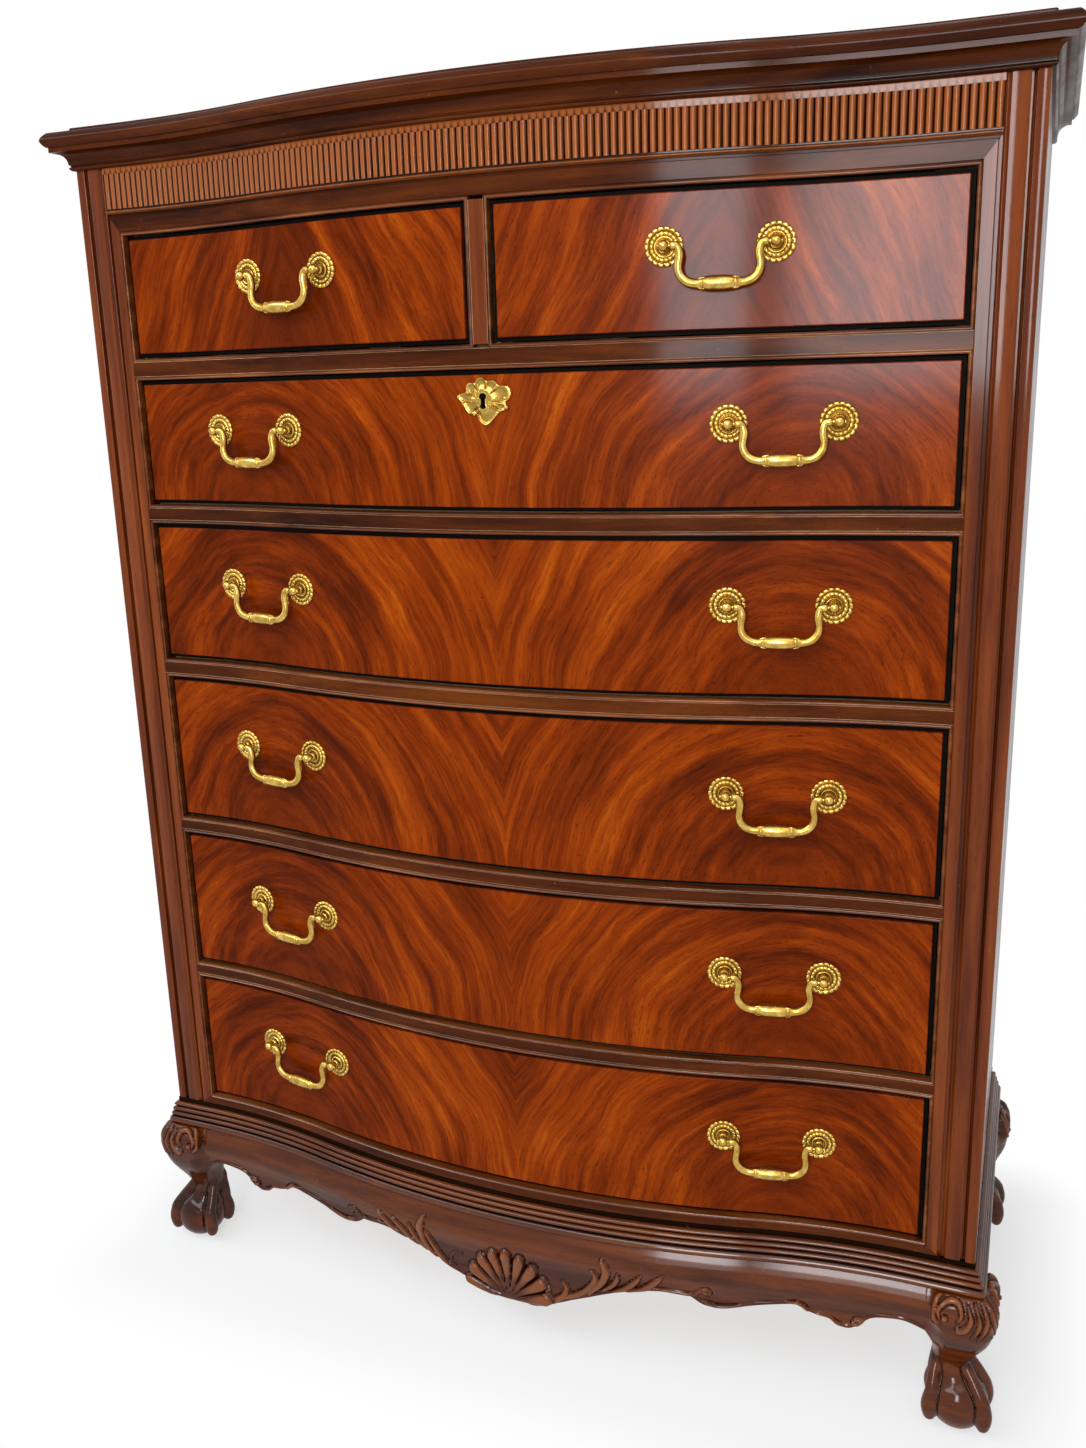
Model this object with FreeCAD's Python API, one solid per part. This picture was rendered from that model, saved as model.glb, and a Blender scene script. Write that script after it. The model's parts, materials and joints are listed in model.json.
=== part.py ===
# Tall serpentine-front chest of drawers: two small drawers over five long ones,
# under a cornice and a reeded frieze, on a carved apron and four ball-and-claw feet.
# Millimetres. +Z is up, -Y is the front, X runs across the front. The origin is on the
# floor, at the middle of the width and of the overall depth.
import FreeCAD
import Part
import math
import os

V = FreeCAD.Vector
UP = V(0, 0, 1)

# ---- Driving dimensions ------------------------------------------------------------
# Case
CASE_WIDTH = 975.0
CASE_DEPTH = 400.0            # stile faces to the back of the side panels
SIDE_THICKNESS = 19.0
BACK_THICKNESS = 6.0
CASE_TOP_THICKNESS = 18.0
FRAME_THICKNESS = 22.0        # stiles, pilasters, frieze and top and bottom rails

# Serpentine front, measured on the faces of the rails, from one cock bead to the other
BOW_DEPTH = 47.0
HOLLOW_RADIUS = 825.0         # the concave sweep at each end of the bow

# Heights, from the floor up
FOOT_HEIGHT = 168.0
BASE_MOULDING_HEIGHT = 27.0
SHADOW_GROOVE_HEIGHT = 5.5
SHADOW_GROOVE_DEPTH = 6.0
BOTTOM_RAIL_HEIGHT = 13.5     # with its cock bead
ROW_HEIGHTS = [128.0, 136.0, 157.0, 174.0, 171.0, 166.0]   # openings, top row first
RAIL_HEIGHTS = [22.5, 20.5, 20.5, 18.5, 18.5]              # between them, top first
TOP_RAIL_HEIGHT = 22.5        # with its cock bead
FRIEZE_HEIGHT = 46.0          # lower bead, reeds and plain strip below the cornice
CORNICE_HEIGHT = 37.0
CORNICE_PROJECTION = 24.0
CORNICE_SLAB_HEIGHT = 14.5
CORNICE_SLAB_NOSE = 4.0       # how far the slab's rounded edge swells
CORNICE_FILLET_HEIGHT = 5.0
CORNICE_FILLET_STEP = 5.5     # fillet behind the slab's nose
CORNICE_COVE_STEP = 4.5       # cove behind the fillet
CORNICE_BEAD_HEIGHT = 4.5
CORNICE_BEAD_PROJECTION = 3.0
TOP_BOARD_THICKNESS = 6.0
TOP_BOARD_PROJECTION = 2.0

# Face frame, pilasters and beads
BEAD_WIDTH = 3.5
BEAD_PROUD = 1.5
STILE_WIDTH = 14.5
STILE_GROOVE_WIDTH = 3.0
GROOVE_DEPTH = 4.0
PILASTER_WIDTH = 34.5
PILASTER_BEAD_WIDTH = 4.0
PILASTER_BEAD_PROUD = 1.0
PILASTER_FACE_WIDTH = 15.5
PILASTER_GROOVE_WIDTH = 5.0
DIVIDER_WIDTH = 22.5          # with its two cock beads

# Inside the case
RAIL_DEPTH = 62.0             # from the stile faces back
RUNNER_WIDTH = 70.0
CENTRE_RUNNER_WIDTH = 90.0
GUIDE_HEIGHT = 18.0
DUST_PANEL_THICKNESS = 5.0
BASE_FRAME_THICKNESS = 20.0
STOP_LENGTH = 34.0
STOP_HEIGHT = 8.0
STOP_THICKNESS = 13.0

# Drawers
FRONT_THICKNESS = 22.0
FRONT_RECESS = 2.5            # face of the drawer behind the faces of the rails
FRONT_GAP = 1.5               # between the front's edges and the opening
FACE_MARGIN = 5.5             # from the opening to the veneered face, past its black rebate
REBATE_DEPTH = 5.0
BOX_SIDE_THICKNESS = 11.0
BOX_SIDE_GAP = 1.5
BOX_TOP_GAP = 9.0
RUNNING_GAP = 0.3
BOX_BOTTOM_RISE = 12.0
BOX_BOTTOM_THICKNESS = 6.0
BOX_BACK_GAP = 12.0
BOX_BACK_DROP = 6.0

# Pulls
PULL_SPACING = 560.0          # between the two pulls of a long drawer
PULL_RISE = 13.0              # pins above the middle of the opening
PULL_BORING = 98.0            # between the posts
PIN_REACH = 12.0              # pins in front of the drawer's face
PIN_RADIUS = 2.0
PIN_CLEARANCE = 0.06
PIN_END_RADIUS = 2.7
POST_BALL_RADIUS = 5.2
POST_NECK_RADIUS = 3.6
POST_SHANK_RADIUS = 2.4
SHANK_CLEARANCE = 0.2
ROSETTE_RADIUS = 15.5
ROSETTE_RIM_RADIUS = 12.5
ROSETTE_THICKNESS = 3.6
ROSETTE_DISH = 1.4
NUT_RADIUS = 5.0
NUT_THICKNESS = 4.0
BAIL_RADIUS = 2.7
BAIL_SHOULDER = 13.5          # from the post in to the top of the arm
BAIL_HIP = 10.5               # from the post in to the widest part of the arm
BAIL_HIP_DROP = 21.0
BAIL_FOOT = 17.0              # from the post in to the corner of the grip bar
BAIL_DROP = 33.0
BAIL_SHOULDER_BEND = 3.6
BAIL_HIP_BEND = 16.0
BAIL_FOOT_BEND = 9.0
GRIP_RADIUS = 5.6
GRIP_LENGTH = 30.0

# Lock and escutcheon of the first long drawer
KEYHOLE_DROP = 30.0           # below the top of the opening
KEYHOLE_RADIUS = 3.0
KEYHOLE_SLOT_WIDTH = 3.4
KEYHOLE_SLOT_DROP = 8.5
ESCUTCHEON_WIDTH = 54.0
ESCUTCHEON_HEIGHT = 45.0
ESCUTCHEON_THICKNESS = 2.5
LOCK_WIDTH = 56.0
LOCK_HEIGHT = 40.0
LOCK_THICKNESS = 11.0
BOLT_WIDTH = 18.0
BOLT_THICKNESS = 6.0
BOLT_LENGTH = 26.0
BOLT_TRAVEL = 8.0
BOLT_CLEARANCE = 0.4

# Base: apron, legs and feet
BASE_MOULDING_PROJECTION = 12.5
BASE_TORUS_HEIGHT = 8.0
BASE_REEDS = 4
BASE_REED_STEP = 1.5          # each reed behind the one below
APRON_PROJECTION = 7.0
APRON_THICKNESS = 22.0
APRON_DEPTH = 103.0           # base moulding down to the tip of the middle pendant
SIDE_APRON_DEPTH = 62.0       # base moulding down to the ends of the side aprons
SIDE_ARCH_RISE = 14.0
REAR_RAIL_HEIGHT = 46.0
LEG_BLOCK = 46.0              # from the case corner in to the ends of the aprons
KNEE_REACH = 28.0             # from the case corner out to the widest part of the knee
ANKLE_HALF = 14.25
ANKLE_CENTRE = 19.75          # in from the case corner
LEG_CORNER_RADIUS = 10.0
REAR_LEG_INSET = 29.0
FOOT_CENTRE = 10.5            # centre of the ball, in from the case corner
BALL_RADIUS = 29.0
FOOT_FLAT = 1.5               # cut off the bottom of the ball, so that it stands flat
TALON_COUNT = 4
CORNER_BLOCK = 34.0
CORNER_BLOCK_HEIGHT = 40.0

PAST = 5.0                    # how far a cutting shape reaches past what it cuts

# ---- Derived places ----------------------------------------------------------------
HALF_CASE = CASE_WIDTH / 2
HALF_INSIDE = HALF_CASE - SIDE_THICKNESS
OVERALL_DEPTH = CORNICE_PROJECTION + BOW_DEPTH + CASE_DEPTH
BACK_Y = OVERALL_DEPTH / 2
FACE_Y = BACK_Y - CASE_DEPTH
INSIDE_BACK_Y = BACK_Y - BACK_THICKNESS
RAIL_BACK_Y = FACE_Y + RAIL_DEPTH
STILE_EDGE = HALF_CASE - PILASTER_WIDTH
BEADED_HALF = STILE_EDGE - STILE_WIDTH
HALF_OPENING = BEADED_HALF - BEAD_WIDTH

# The bow is a crown arc between two hollow arcs, all tangent to each other, and each
# hollow runs out level with the stile faces.
RADII_SUM = (HALF_OPENING ** 2 + BOW_DEPTH ** 2) / (2 * BOW_DEPTH)
CROWN_RADIUS = RADII_SUM - HOLLOW_RADIUS
CROWN_Y = FACE_Y - BOW_DEPTH + CROWN_RADIUS
HOLLOW_Y = FACE_Y - HOLLOW_RADIUS

BASE_TOP_Z = FOOT_HEIGHT + BASE_FRAME_THICKNESS
MOULDING_TOP_Z = FOOT_HEIGHT + BASE_MOULDING_HEIGHT
CASE_FACE_Z = MOULDING_TOP_Z + SHADOW_GROOVE_HEIGHT


def stack_openings():
    """Bottom and top of each row's opening, top row first."""
    rows = []
    level = CASE_FACE_Z + BOTTOM_RAIL_HEIGHT
    for row in reversed(range(len(ROW_HEIGHTS))):
        rows.insert(0, (level, level + ROW_HEIGHTS[row]))
        level += ROW_HEIGHTS[row]
        if row > 0:
            level += RAIL_HEIGHTS[row - 1]
    return rows


ROWS = stack_openings()
TOP_RAIL_Z = ROWS[0][1] + TOP_RAIL_HEIGHT
CORNICE_Z = TOP_RAIL_Z + FRIEZE_HEIGHT
CASE_HEIGHT = CORNICE_Z + CORNICE_HEIGHT


# ---- Plain shapes ------------------------------------------------------------------
def block(x0, x1, y0, y1, z0, z1):
    return Part.makeBox(x1 - x0, y1 - y0, z1 - z0, V(x0, y0, z0))


def prism(points, direction):
    """Solid swept straight from a closed outline of points."""
    wire = Part.makePolygon(points + [points[0]])
    return Part.Face(wire).extrude(direction)


def plan_prism(outline, z0, z1):
    return prism([V(x, y, z0) for x, y in outline], V(0, 0, z1 - z0))


def front_prism(outline, y0, y1):
    return prism([V(x, y0, z) for x, z in outline], V(0, y1 - y0, 0))


def mirrored(shape):
    return shape.mirror(V(0, 0, 0), V(1, 0, 0))


def export(name, shapes):
    shape = shapes[0] if len(shapes) == 1 else Part.makeCompound(shapes)
    shape.exportStep("parts/" + name + ".step")


# ---- The serpentine line -----------------------------------------------------------
def crown_end(out):
    """X where the crown arc meets the hollow arc, on the line lying out in front."""
    return HALF_OPENING * (CROWN_RADIUS + out) / RADII_SUM


def front_y(x, out):
    """Y of the front line at x, lying out in front of the rails' faces."""
    across = abs(x)
    if across < crown_end(out):
        return CROWN_Y - math.sqrt((CROWN_RADIUS + out) ** 2 - across ** 2)
    if across < HALF_OPENING:
        hollow = HOLLOW_RADIUS - out
        return HOLLOW_Y + math.sqrt(hollow ** 2 - (HALF_OPENING - across) ** 2)
    return FACE_Y - out


def front_edges(x0, x1, out, z):
    """Edges of the front line from x0 to x1: straight, hollow, crown, hollow, straight."""
    joints = [-HALF_OPENING, -crown_end(out), crown_end(out), HALF_OPENING]
    stops = [x0] + [x for x in joints if x0 < x < x1] + [x1]
    edges = []
    for a, b in zip(stops, stops[1:]):
        middle = (a + b) / 2
        start, via, end = [V(x, front_y(x, out), z) for x in (a, middle, b)]
        if abs(middle) > HALF_OPENING:
            edges.append(Part.LineSegment(start, end).toShape())
        else:
            edges.append(Part.Arc(start, via, end).toShape())
    return edges


def bowed(x0, x1, out, back, z0, z1):
    """Board whose front follows the bow; back is a second bowed line or, if a pair, a Y."""
    edges = front_edges(x0, x1, out, z0)
    front_left = V(x0, front_y(x0, out), z0)
    front_right = V(x1, front_y(x1, out), z0)
    if isinstance(back, tuple):
        back_left = V(x0, back[0], z0)
        back_right = V(x1, back[0], z0)
        back_edges = [Part.LineSegment(back_right, back_left).toShape()]
    else:
        back_left = V(x0, front_y(x0, back), z0)
        back_right = V(x1, front_y(x1, back), z0)
        back_edges = front_edges(x0, x1, back, z0)
    ends = [Part.LineSegment(front_right, back_right).toShape(),
            Part.LineSegment(back_left, front_left).toShape()]
    loop = Part.Wire(Part.__sortEdges__(edges + back_edges + ends))
    return Part.Face(loop).extrude(V(0, 0, z1 - z0))


def straight(y):
    """Marks a bowed board's back as straight, at this Y."""
    return (y,)


# ---- Mouldings ---------------------------------------------------------------------
def profile_wire(profile, place):
    """Closed wire of a moulding profile: points are (out, height), and a third value
    after a point is the bulge of the arc that reaches it."""
    points = [place(p[0], p[1]) for p in profile]
    edges = []
    for i, point in enumerate(points):
        following = profile[(i + 1) % len(profile)]
        target = points[(i + 1) % len(points)]
        if len(following) == 3:
            out = (profile[i][0] + following[0]) / 2
            height = (profile[i][1] + following[1]) / 2
            run = following[0] - profile[i][0]
            rise = following[1] - profile[i][1]
            via = place(out + rise * following[2], height - run * following[2])
            edges.append(Part.Arc(point, via, target).toShape())
        else:
            edges.append(Part.LineSegment(point, target).toShape())
    return Part.Wire(edges)


def wrapped_moulding(profile, z, projection):
    """Front length along the bow and two straight side returns, mitred at the corners."""
    reach = HALF_CASE + projection + PAST
    path = Part.Wire(front_edges(-reach, reach, 0, z))
    section = profile_wire(profile, lambda out, height: V(-reach, FACE_Y - out, z + height))
    sweep = Part.BRepOffsetAPI.MakePipeShell(path)
    sweep.setBiNormalMode(UP)
    sweep.add(section)
    sweep.build()
    sweep.makeSolid()
    height = max(p[1] for p in profile)
    inner = HALF_CASE - PAST
    outer = HALF_CASE + BOW_DEPTH + projection + PAST
    wedge = plan_prism([(-inner, FACE_Y + PAST), (-outer, FACE_Y + HALF_CASE - outer),
                        (outer, FACE_Y + HALF_CASE - outer), (inner, FACE_Y + PAST)],
                       z - PAST, z + height + PAST)
    front = sweep.shape().common(wedge).Solids[0]
    start_y = FACE_Y - projection - PAST

    def place(out, rise):
        return V(HALF_CASE + out, start_y, z + rise)

    side = Part.Face(profile_wire(profile, place)).extrude(V(0, BACK_Y - start_y, 0))
    side = max(side.cut(wedge).Solids, key=lambda solid: solid.Volume)
    return [front, side, mirrored(side)]


def make_cornice():
    """Bead, cove, fillet and bullnosed slab, from the case out."""
    bead = CORNICE_BEAD_PROJECTION
    cove_foot = bead + CORNICE_BEAD_HEIGHT / 3
    slab_z = CORNICE_HEIGHT - CORNICE_SLAB_HEIGHT
    fillet_z = slab_z - CORNICE_FILLET_HEIGHT
    fillet = CORNICE_PROJECTION - CORNICE_FILLET_STEP
    slab = CORNICE_PROJECTION - CORNICE_SLAB_NOSE
    nose_bulge = CORNICE_SLAB_NOSE / CORNICE_SLAB_HEIGHT
    profile = [(0, 0), (bead, 0), (bead, CORNICE_BEAD_HEIGHT, 0.5),
               (cove_foot, CORNICE_BEAD_HEIGHT), (fillet - CORNICE_COVE_STEP, fillet_z, -0.2),
               (fillet, fillet_z), (fillet, slab_z), (slab, slab_z),
               (slab, CORNICE_HEIGHT, nose_bulge), (0, CORNICE_HEIGHT)]
    return wrapped_moulding(profile, CORNICE_Z, CORNICE_PROJECTION)


def make_base_moulding():
    """Reeds that step out towards the bottom, over a larger torus."""
    torus_bulge = 0.375
    reed_bulge = 0.3
    nose = BASE_MOULDING_PROJECTION - torus_bulge * BASE_TORUS_HEIGHT
    reed = (BASE_MOULDING_HEIGHT - BASE_TORUS_HEIGHT) / BASE_REEDS
    profile = [(0, 0), (nose, 0), (nose, BASE_TORUS_HEIGHT, torus_bulge)]
    for i in range(BASE_REEDS):
        out = nose - (i + 1) * BASE_REED_STEP
        low = BASE_TORUS_HEIGHT + i * reed
        profile += [(out, low), (out, low + reed, reed_bulge)]
    profile += [(0, BASE_MOULDING_HEIGHT)]
    return wrapped_moulding(profile, FOOT_HEIGHT, BASE_MOULDING_PROJECTION)


# ---- Case --------------------------------------------------------------------------
def make_side_panel():
    return block(HALF_INSIDE, HALF_CASE, FACE_Y + FRAME_THICKNESS, BACK_Y,
                 BASE_TOP_Z, CASE_HEIGHT)


def make_back_panel():
    return block(-HALF_INSIDE, HALF_INSIDE, INSIDE_BACK_Y, BACK_Y, BASE_TOP_Z, CASE_HEIGHT)


def make_case_top():
    return bowed(-HALF_INSIDE, HALF_INSIDE, -FRAME_THICKNESS, straight(INSIDE_BACK_Y),
                 CASE_HEIGHT - CASE_TOP_THICKNESS, CASE_HEIGHT)


def make_top_board():
    half = HALF_CASE + TOP_BOARD_PROJECTION
    return bowed(-half, half, TOP_BOARD_PROJECTION, straight(BACK_Y),
                 CASE_HEIGHT, CASE_HEIGHT + TOP_BOARD_THICKNESS)


def make_frieze():
    """Board behind the cornice, reeds and lower bead, between the pilasters."""
    return bowed(-STILE_EDGE, STILE_EDGE, 0, -FRAME_THICKNESS, TOP_RAIL_Z, CASE_HEIGHT)


def make_pilaster():
    """Right pilaster: bead, flat face, groove and outer strip."""
    face = STILE_EDGE + PILASTER_BEAD_WIDTH
    groove = face + PILASTER_FACE_WIDTH
    strip = groove + PILASTER_GROOVE_WIDTH
    proud = FACE_Y - PILASTER_BEAD_PROUD
    sunk = FACE_Y + GROOVE_DEPTH
    outline = [(STILE_EDGE, proud), (face, proud), (face, FACE_Y), (groove, FACE_Y),
               (groove, sunk), (strip, sunk), (strip, FACE_Y), (HALF_CASE, FACE_Y),
               (HALF_CASE, FACE_Y + FRAME_THICKNESS), (STILE_EDGE, FACE_Y + FRAME_THICKNESS)]
    pilaster = plan_prism(outline, CASE_FACE_Z, CASE_HEIGHT)
    bead_end = block(STILE_EDGE, face, proud, FACE_Y, CORNICE_Z, CASE_HEIGHT)
    return pilaster.cut(bead_end)


def mitre_wedge(z_inner, z_outer, rail_side):
    """Everything on one side of the mitre between the right stile and a rail."""
    run = STILE_WIDTH
    rise = z_outer - z_inner
    near = (BEADED_HALF - run / 2, z_inner - rise / 2)
    far = (STILE_EDGE + run / 2, z_outer + rise / 2)
    corner = (near[0], far[1]) if rail_side else (far[0], near[1])
    return front_prism([near, far, corner], FACE_Y - BOW_DEPTH, FACE_Y + 2 * FRAME_THICKNESS)


def make_stile():
    """Right stile, with the rebate that makes the dark line beside the pilaster."""
    groove = STILE_EDGE - STILE_GROOVE_WIDTH
    sunk = FACE_Y + GROOVE_DEPTH
    back = FACE_Y + FRAME_THICKNESS
    outline = [(BEADED_HALF, FACE_Y), (groove, FACE_Y), (groove, sunk), (STILE_EDGE, sunk),
               (STILE_EDGE, back), (BEADED_HALF, back)]
    stile = plan_prism(outline, CASE_FACE_Z, TOP_RAIL_Z)
    stile = stile.cut(mitre_wedge(ROWS[0][1] + BEAD_WIDTH, TOP_RAIL_Z, True))
    return stile.cut(mitre_wedge(ROWS[-1][0] - BEAD_WIDTH, CASE_FACE_Z, True))


def mitred_rail(z0, z1, wedge):
    rail = bowed(-STILE_EDGE, STILE_EDGE, 0, -FRAME_THICKNESS, z0, z1)
    return rail.cut(wedge).cut(mirrored(wedge))


def make_face_frame():
    """Two stiles, the top rail and the bottom rail, mitred like a picture frame."""
    top_z = ROWS[0][1] + BEAD_WIDTH
    bottom_z = ROWS[-1][0] - BEAD_WIDTH
    top = mitred_rail(top_z, TOP_RAIL_Z, mitre_wedge(top_z, TOP_RAIL_Z, False))
    groove = bowed(-STILE_EDGE, STILE_EDGE, PAST, -GROOVE_DEPTH,
                   TOP_RAIL_Z - STILE_GROOVE_WIDTH, TOP_RAIL_Z + PAST)
    top = top.cut(groove)
    bottom = mitred_rail(CASE_FACE_Z, bottom_z, mitre_wedge(bottom_z, CASE_FACE_Z, False))
    stile = make_stile()
    return [stile, mirrored(stile), top, bottom]


def bolt_mortise(clearance):
    """Space for the lock bolt when it is up."""
    half = BOLT_WIDTH / 2 + clearance
    middle = lock_middle_y()
    deep = BOLT_THICKNESS / 2 + clearance
    top = ROWS[1][1] + BOLT_TRAVEL + 2 * clearance
    return block(-half, half, middle - deep, middle + deep, ROWS[1][1] - FRONT_GAP, top)


def make_drawer_rails():
    """One rail between each two rows; each is full height behind its cock beads."""
    rails = []
    for upper, lower in zip(ROWS, ROWS[1:]):
        body = bowed(-HALF_INSIDE, HALF_INSIDE, -FRAME_THICKNESS, straight(RAIL_BACK_Y),
                     lower[1], upper[0])
        face = bowed(-BEADED_HALF, BEADED_HALF, 0, -FRAME_THICKNESS,
                     lower[1] + BEAD_WIDTH, upper[0] - BEAD_WIDTH)
        rails.append(body.fuse(face).removeSplitter())
    rails[0] = rails[0].cut(bolt_mortise(BOLT_CLEARANCE))
    return rails


def make_divider():
    """Upright between the two small drawers, and behind its beads."""
    z0, z1 = ROWS[0]
    core = DIVIDER_WIDTH / 2 - BEAD_WIDTH
    face = bowed(-core, core, 0, -FRAME_THICKNESS, z0, z1)
    body = bowed(-DIVIDER_WIDTH / 2, DIVIDER_WIDTH / 2, -FRAME_THICKNESS,
                 straight(RAIL_BACK_Y), z0, z1)
    return face.fuse(body).removeSplitter()


def openings():
    """Every drawer's opening between its beads: name, x0, x1, z0, z1."""
    half_divider = DIVIDER_WIDTH / 2
    z0, z1 = ROWS[0]
    found = [("drawer_1_left", -HALF_OPENING, -half_divider, z0, z1),
             ("drawer_1_right", half_divider, HALF_OPENING, z0, z1)]
    for row in range(1, len(ROWS)):
        z0, z1 = ROWS[row]
        found.append(("drawer_%d" % (row + 1), -HALF_OPENING, HALF_OPENING, z0, z1))
    return found


def make_cock_beading():
    """Four strips round each opening, standing a little proud of the rails."""
    strips = []
    for name, x0, x1, z0, z1 in openings():
        left = x0 - BEAD_WIDTH
        right = x1 + BEAD_WIDTH
        strips.append(bowed(left, right, BEAD_PROUD, -FRAME_THICKNESS, z1, z1 + BEAD_WIDTH))
        strips.append(bowed(left, right, BEAD_PROUD, -FRAME_THICKNESS, z0 - BEAD_WIDTH, z0))
        strips.append(bowed(left, x0, BEAD_PROUD, -FRAME_THICKNESS, z0, z1))
        strips.append(bowed(x1, right, BEAD_PROUD, -FRAME_THICKNESS, z0, z1))
    return [strip.cut(bolt_mortise(BOLT_CLEARANCE)) for strip in strips]


def runner_levels():
    """Bottom and top of the runners under each row, then of the kickers over the top row."""
    levels = [(lower[1], upper[0]) for upper, lower in zip(ROWS, ROWS[1:])]
    return levels + [(BASE_TOP_Z, ROWS[-1][0]), (ROWS[0][1], TOP_RAIL_Z)]


def make_drawer_runners():
    """Runners down both sides of each row, their guides, and the pair's centre runner."""
    pieces = []
    inner = HALF_INSIDE - RUNNER_WIDTH
    for z0, z1 in runner_levels():
        start = FACE_Y + FRAME_THICKNESS if z0 in (BASE_TOP_Z, ROWS[0][1]) else RAIL_BACK_Y
        runner = block(inner, HALF_INSIDE, start, INSIDE_BACK_Y, z0, z1)
        pieces += [runner, mirrored(runner)]
    for z0, z1 in ROWS:
        guide = block(HALF_OPENING, HALF_INSIDE, FACE_Y + FRAME_THICKNESS, INSIDE_BACK_Y,
                      z0, z0 + GUIDE_HEIGHT)
        pieces += [guide, mirrored(guide)]
    z0, z1 = runner_levels()[0]
    half = CENTRE_RUNNER_WIDTH / 2
    pieces.append(block(-half, half, RAIL_BACK_Y, INSIDE_BACK_Y, z0, z1))
    half = DIVIDER_WIDTH / 2
    pieces.append(block(-half, half, RAIL_BACK_Y, INSIDE_BACK_Y, z1, z1 + GUIDE_HEIGHT))
    return pieces


def make_dust_panels():
    """Thin boards between the runners, one row from the next."""
    panels = []
    inner = HALF_INSIDE - RUNNER_WIDTH
    for i, (z0, z1) in enumerate(runner_levels()[:len(RAIL_HEIGHTS)]):
        low = (z0 + z1 - DUST_PANEL_THICKNESS) / 2
        high = low + DUST_PANEL_THICKNESS
        if i == 0:
            panel = block(CENTRE_RUNNER_WIDTH / 2, inner, RAIL_BACK_Y, INSIDE_BACK_Y, low, high)
            panels += [panel, mirrored(panel)]
        else:
            panels.append(block(-inner, inner, RAIL_BACK_Y, INSIDE_BACK_Y, low, high))
    return panels


def make_drawer_stops():
    """Two blocks per opening, glued down behind the drawer front."""
    stops = []
    front_back = -FRONT_RECESS - FRONT_THICKNESS - RUNNING_GAP
    for name, x0, x1, z0, z1 in openings():
        quarter = (x1 - x0) / 4
        for x in (x0 + quarter, x1 - quarter):
            stops.append(bowed(x - STOP_LENGTH / 2, x + STOP_LENGTH / 2, front_back,
                               front_back - STOP_THICKNESS, z0, z0 + STOP_HEIGHT))
    return stops


# ---- Base --------------------------------------------------------------------------
def make_base_frame():
    """Board under the case, the set-back strip on it, the rear rail and corner blocks."""
    board = bowed(-HALF_CASE, HALF_CASE, 0, straight(BACK_Y), FOOT_HEIGHT, BASE_TOP_Z)
    half = HALF_CASE - SHADOW_GROOVE_DEPTH
    strip = bowed(-half, half, -SHADOW_GROOVE_DEPTH, -FRAME_THICKNESS, BASE_TOP_Z, CASE_FACE_Z)
    rail = block(-HALF_CASE + LEG_BLOCK, HALF_CASE - LEG_BLOCK, BACK_Y - APRON_THICKNESS,
                 BACK_Y, FOOT_HEIGHT - REAR_RAIL_HEIGHT, FOOT_HEIGHT)
    x1 = HALF_CASE - LEG_BLOCK
    low = FOOT_HEIGHT - CORNER_BLOCK_HEIGHT
    front_y0 = FACE_Y + APRON_THICKNESS - APRON_PROJECTION
    rear_y1 = BACK_Y - APRON_THICKNESS
    front = block(x1 - CORNER_BLOCK, x1, front_y0, front_y0 + CORNER_BLOCK, low, FOOT_HEIGHT)
    rear = block(x1 - CORNER_BLOCK, x1, rear_y1 - CORNER_BLOCK, rear_y1, low, FOOT_HEIGHT)
    return [board, strip, rail, front, mirrored(front), rear, mirrored(rear)]


def edge_curve(points, y):
    """Smooth edge through the points of an outline seen from the front."""
    curve = Part.BSplineCurve()
    curve.interpolate([V(x, y, z) for x, z in points])
    return curve.toShape()


def apron_half_edge():
    """Lower edge of the front apron from the middle to the leg: pendant, three sweeps
    and the two small scroll ends between them. Each point is a share of the apron's half
    length and a height above the tip of the pendant."""
    runs = [[(0, 0), (0.072, 2.5), (0.174, 22), (0.272, 40), (0.374, 51), (0.455, 50)],
            [(0.455, 50), (0.482, 41), (0.512, 38), (0.55, 39.5), (0.618, 47), (0.702, 54.5)],
            [(0.702, 54.5), (0.743, 45), (0.781, 42.5), (0.802, 34.5), (0.829, 32.5),
             (0.854, 40)],
            [(0.854, 40), (0.879, 51), (0.915, 55), (0.956, 53), (1, 42)]]
    half = HALF_CASE - LEG_BLOCK
    tip = FOOT_HEIGHT - APRON_DEPTH
    return [[(share * half, tip + rise) for share, rise in run] for run in runs]


def make_apron_front():
    """Board under the base moulding that follows the bow, with a scrolled lower edge."""
    leg = HALF_CASE - LEG_BLOCK
    y0 = FACE_Y - BOW_DEPTH - APRON_PROJECTION - PAST
    top = FOOT_HEIGHT
    right = [edge_curve(run, y0) for run in apron_half_edge()]
    left = [edge_curve([(-x, z) for x, z in run], y0) for run in apron_half_edge()]
    end_z = apron_half_edge()[-1][-1][1]
    lines = [Part.LineSegment(V(leg, y0, end_z), V(leg, y0, top)).toShape(),
             Part.LineSegment(V(leg, y0, top), V(-leg, y0, top)).toShape(),
             Part.LineSegment(V(-leg, y0, top), V(-leg, y0, end_z)).toShape()]
    wire = Part.Wire(Part.__sortEdges__(right + left + lines))
    cutter = Part.Face(wire).extrude(V(0, BOW_DEPTH + APRON_THICKNESS + 2 * PAST, 0))
    board = bowed(-leg, leg, APRON_PROJECTION, APRON_PROJECTION - APRON_THICKNESS, 0, top)
    return board.common(cutter).Solids[0]


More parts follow.
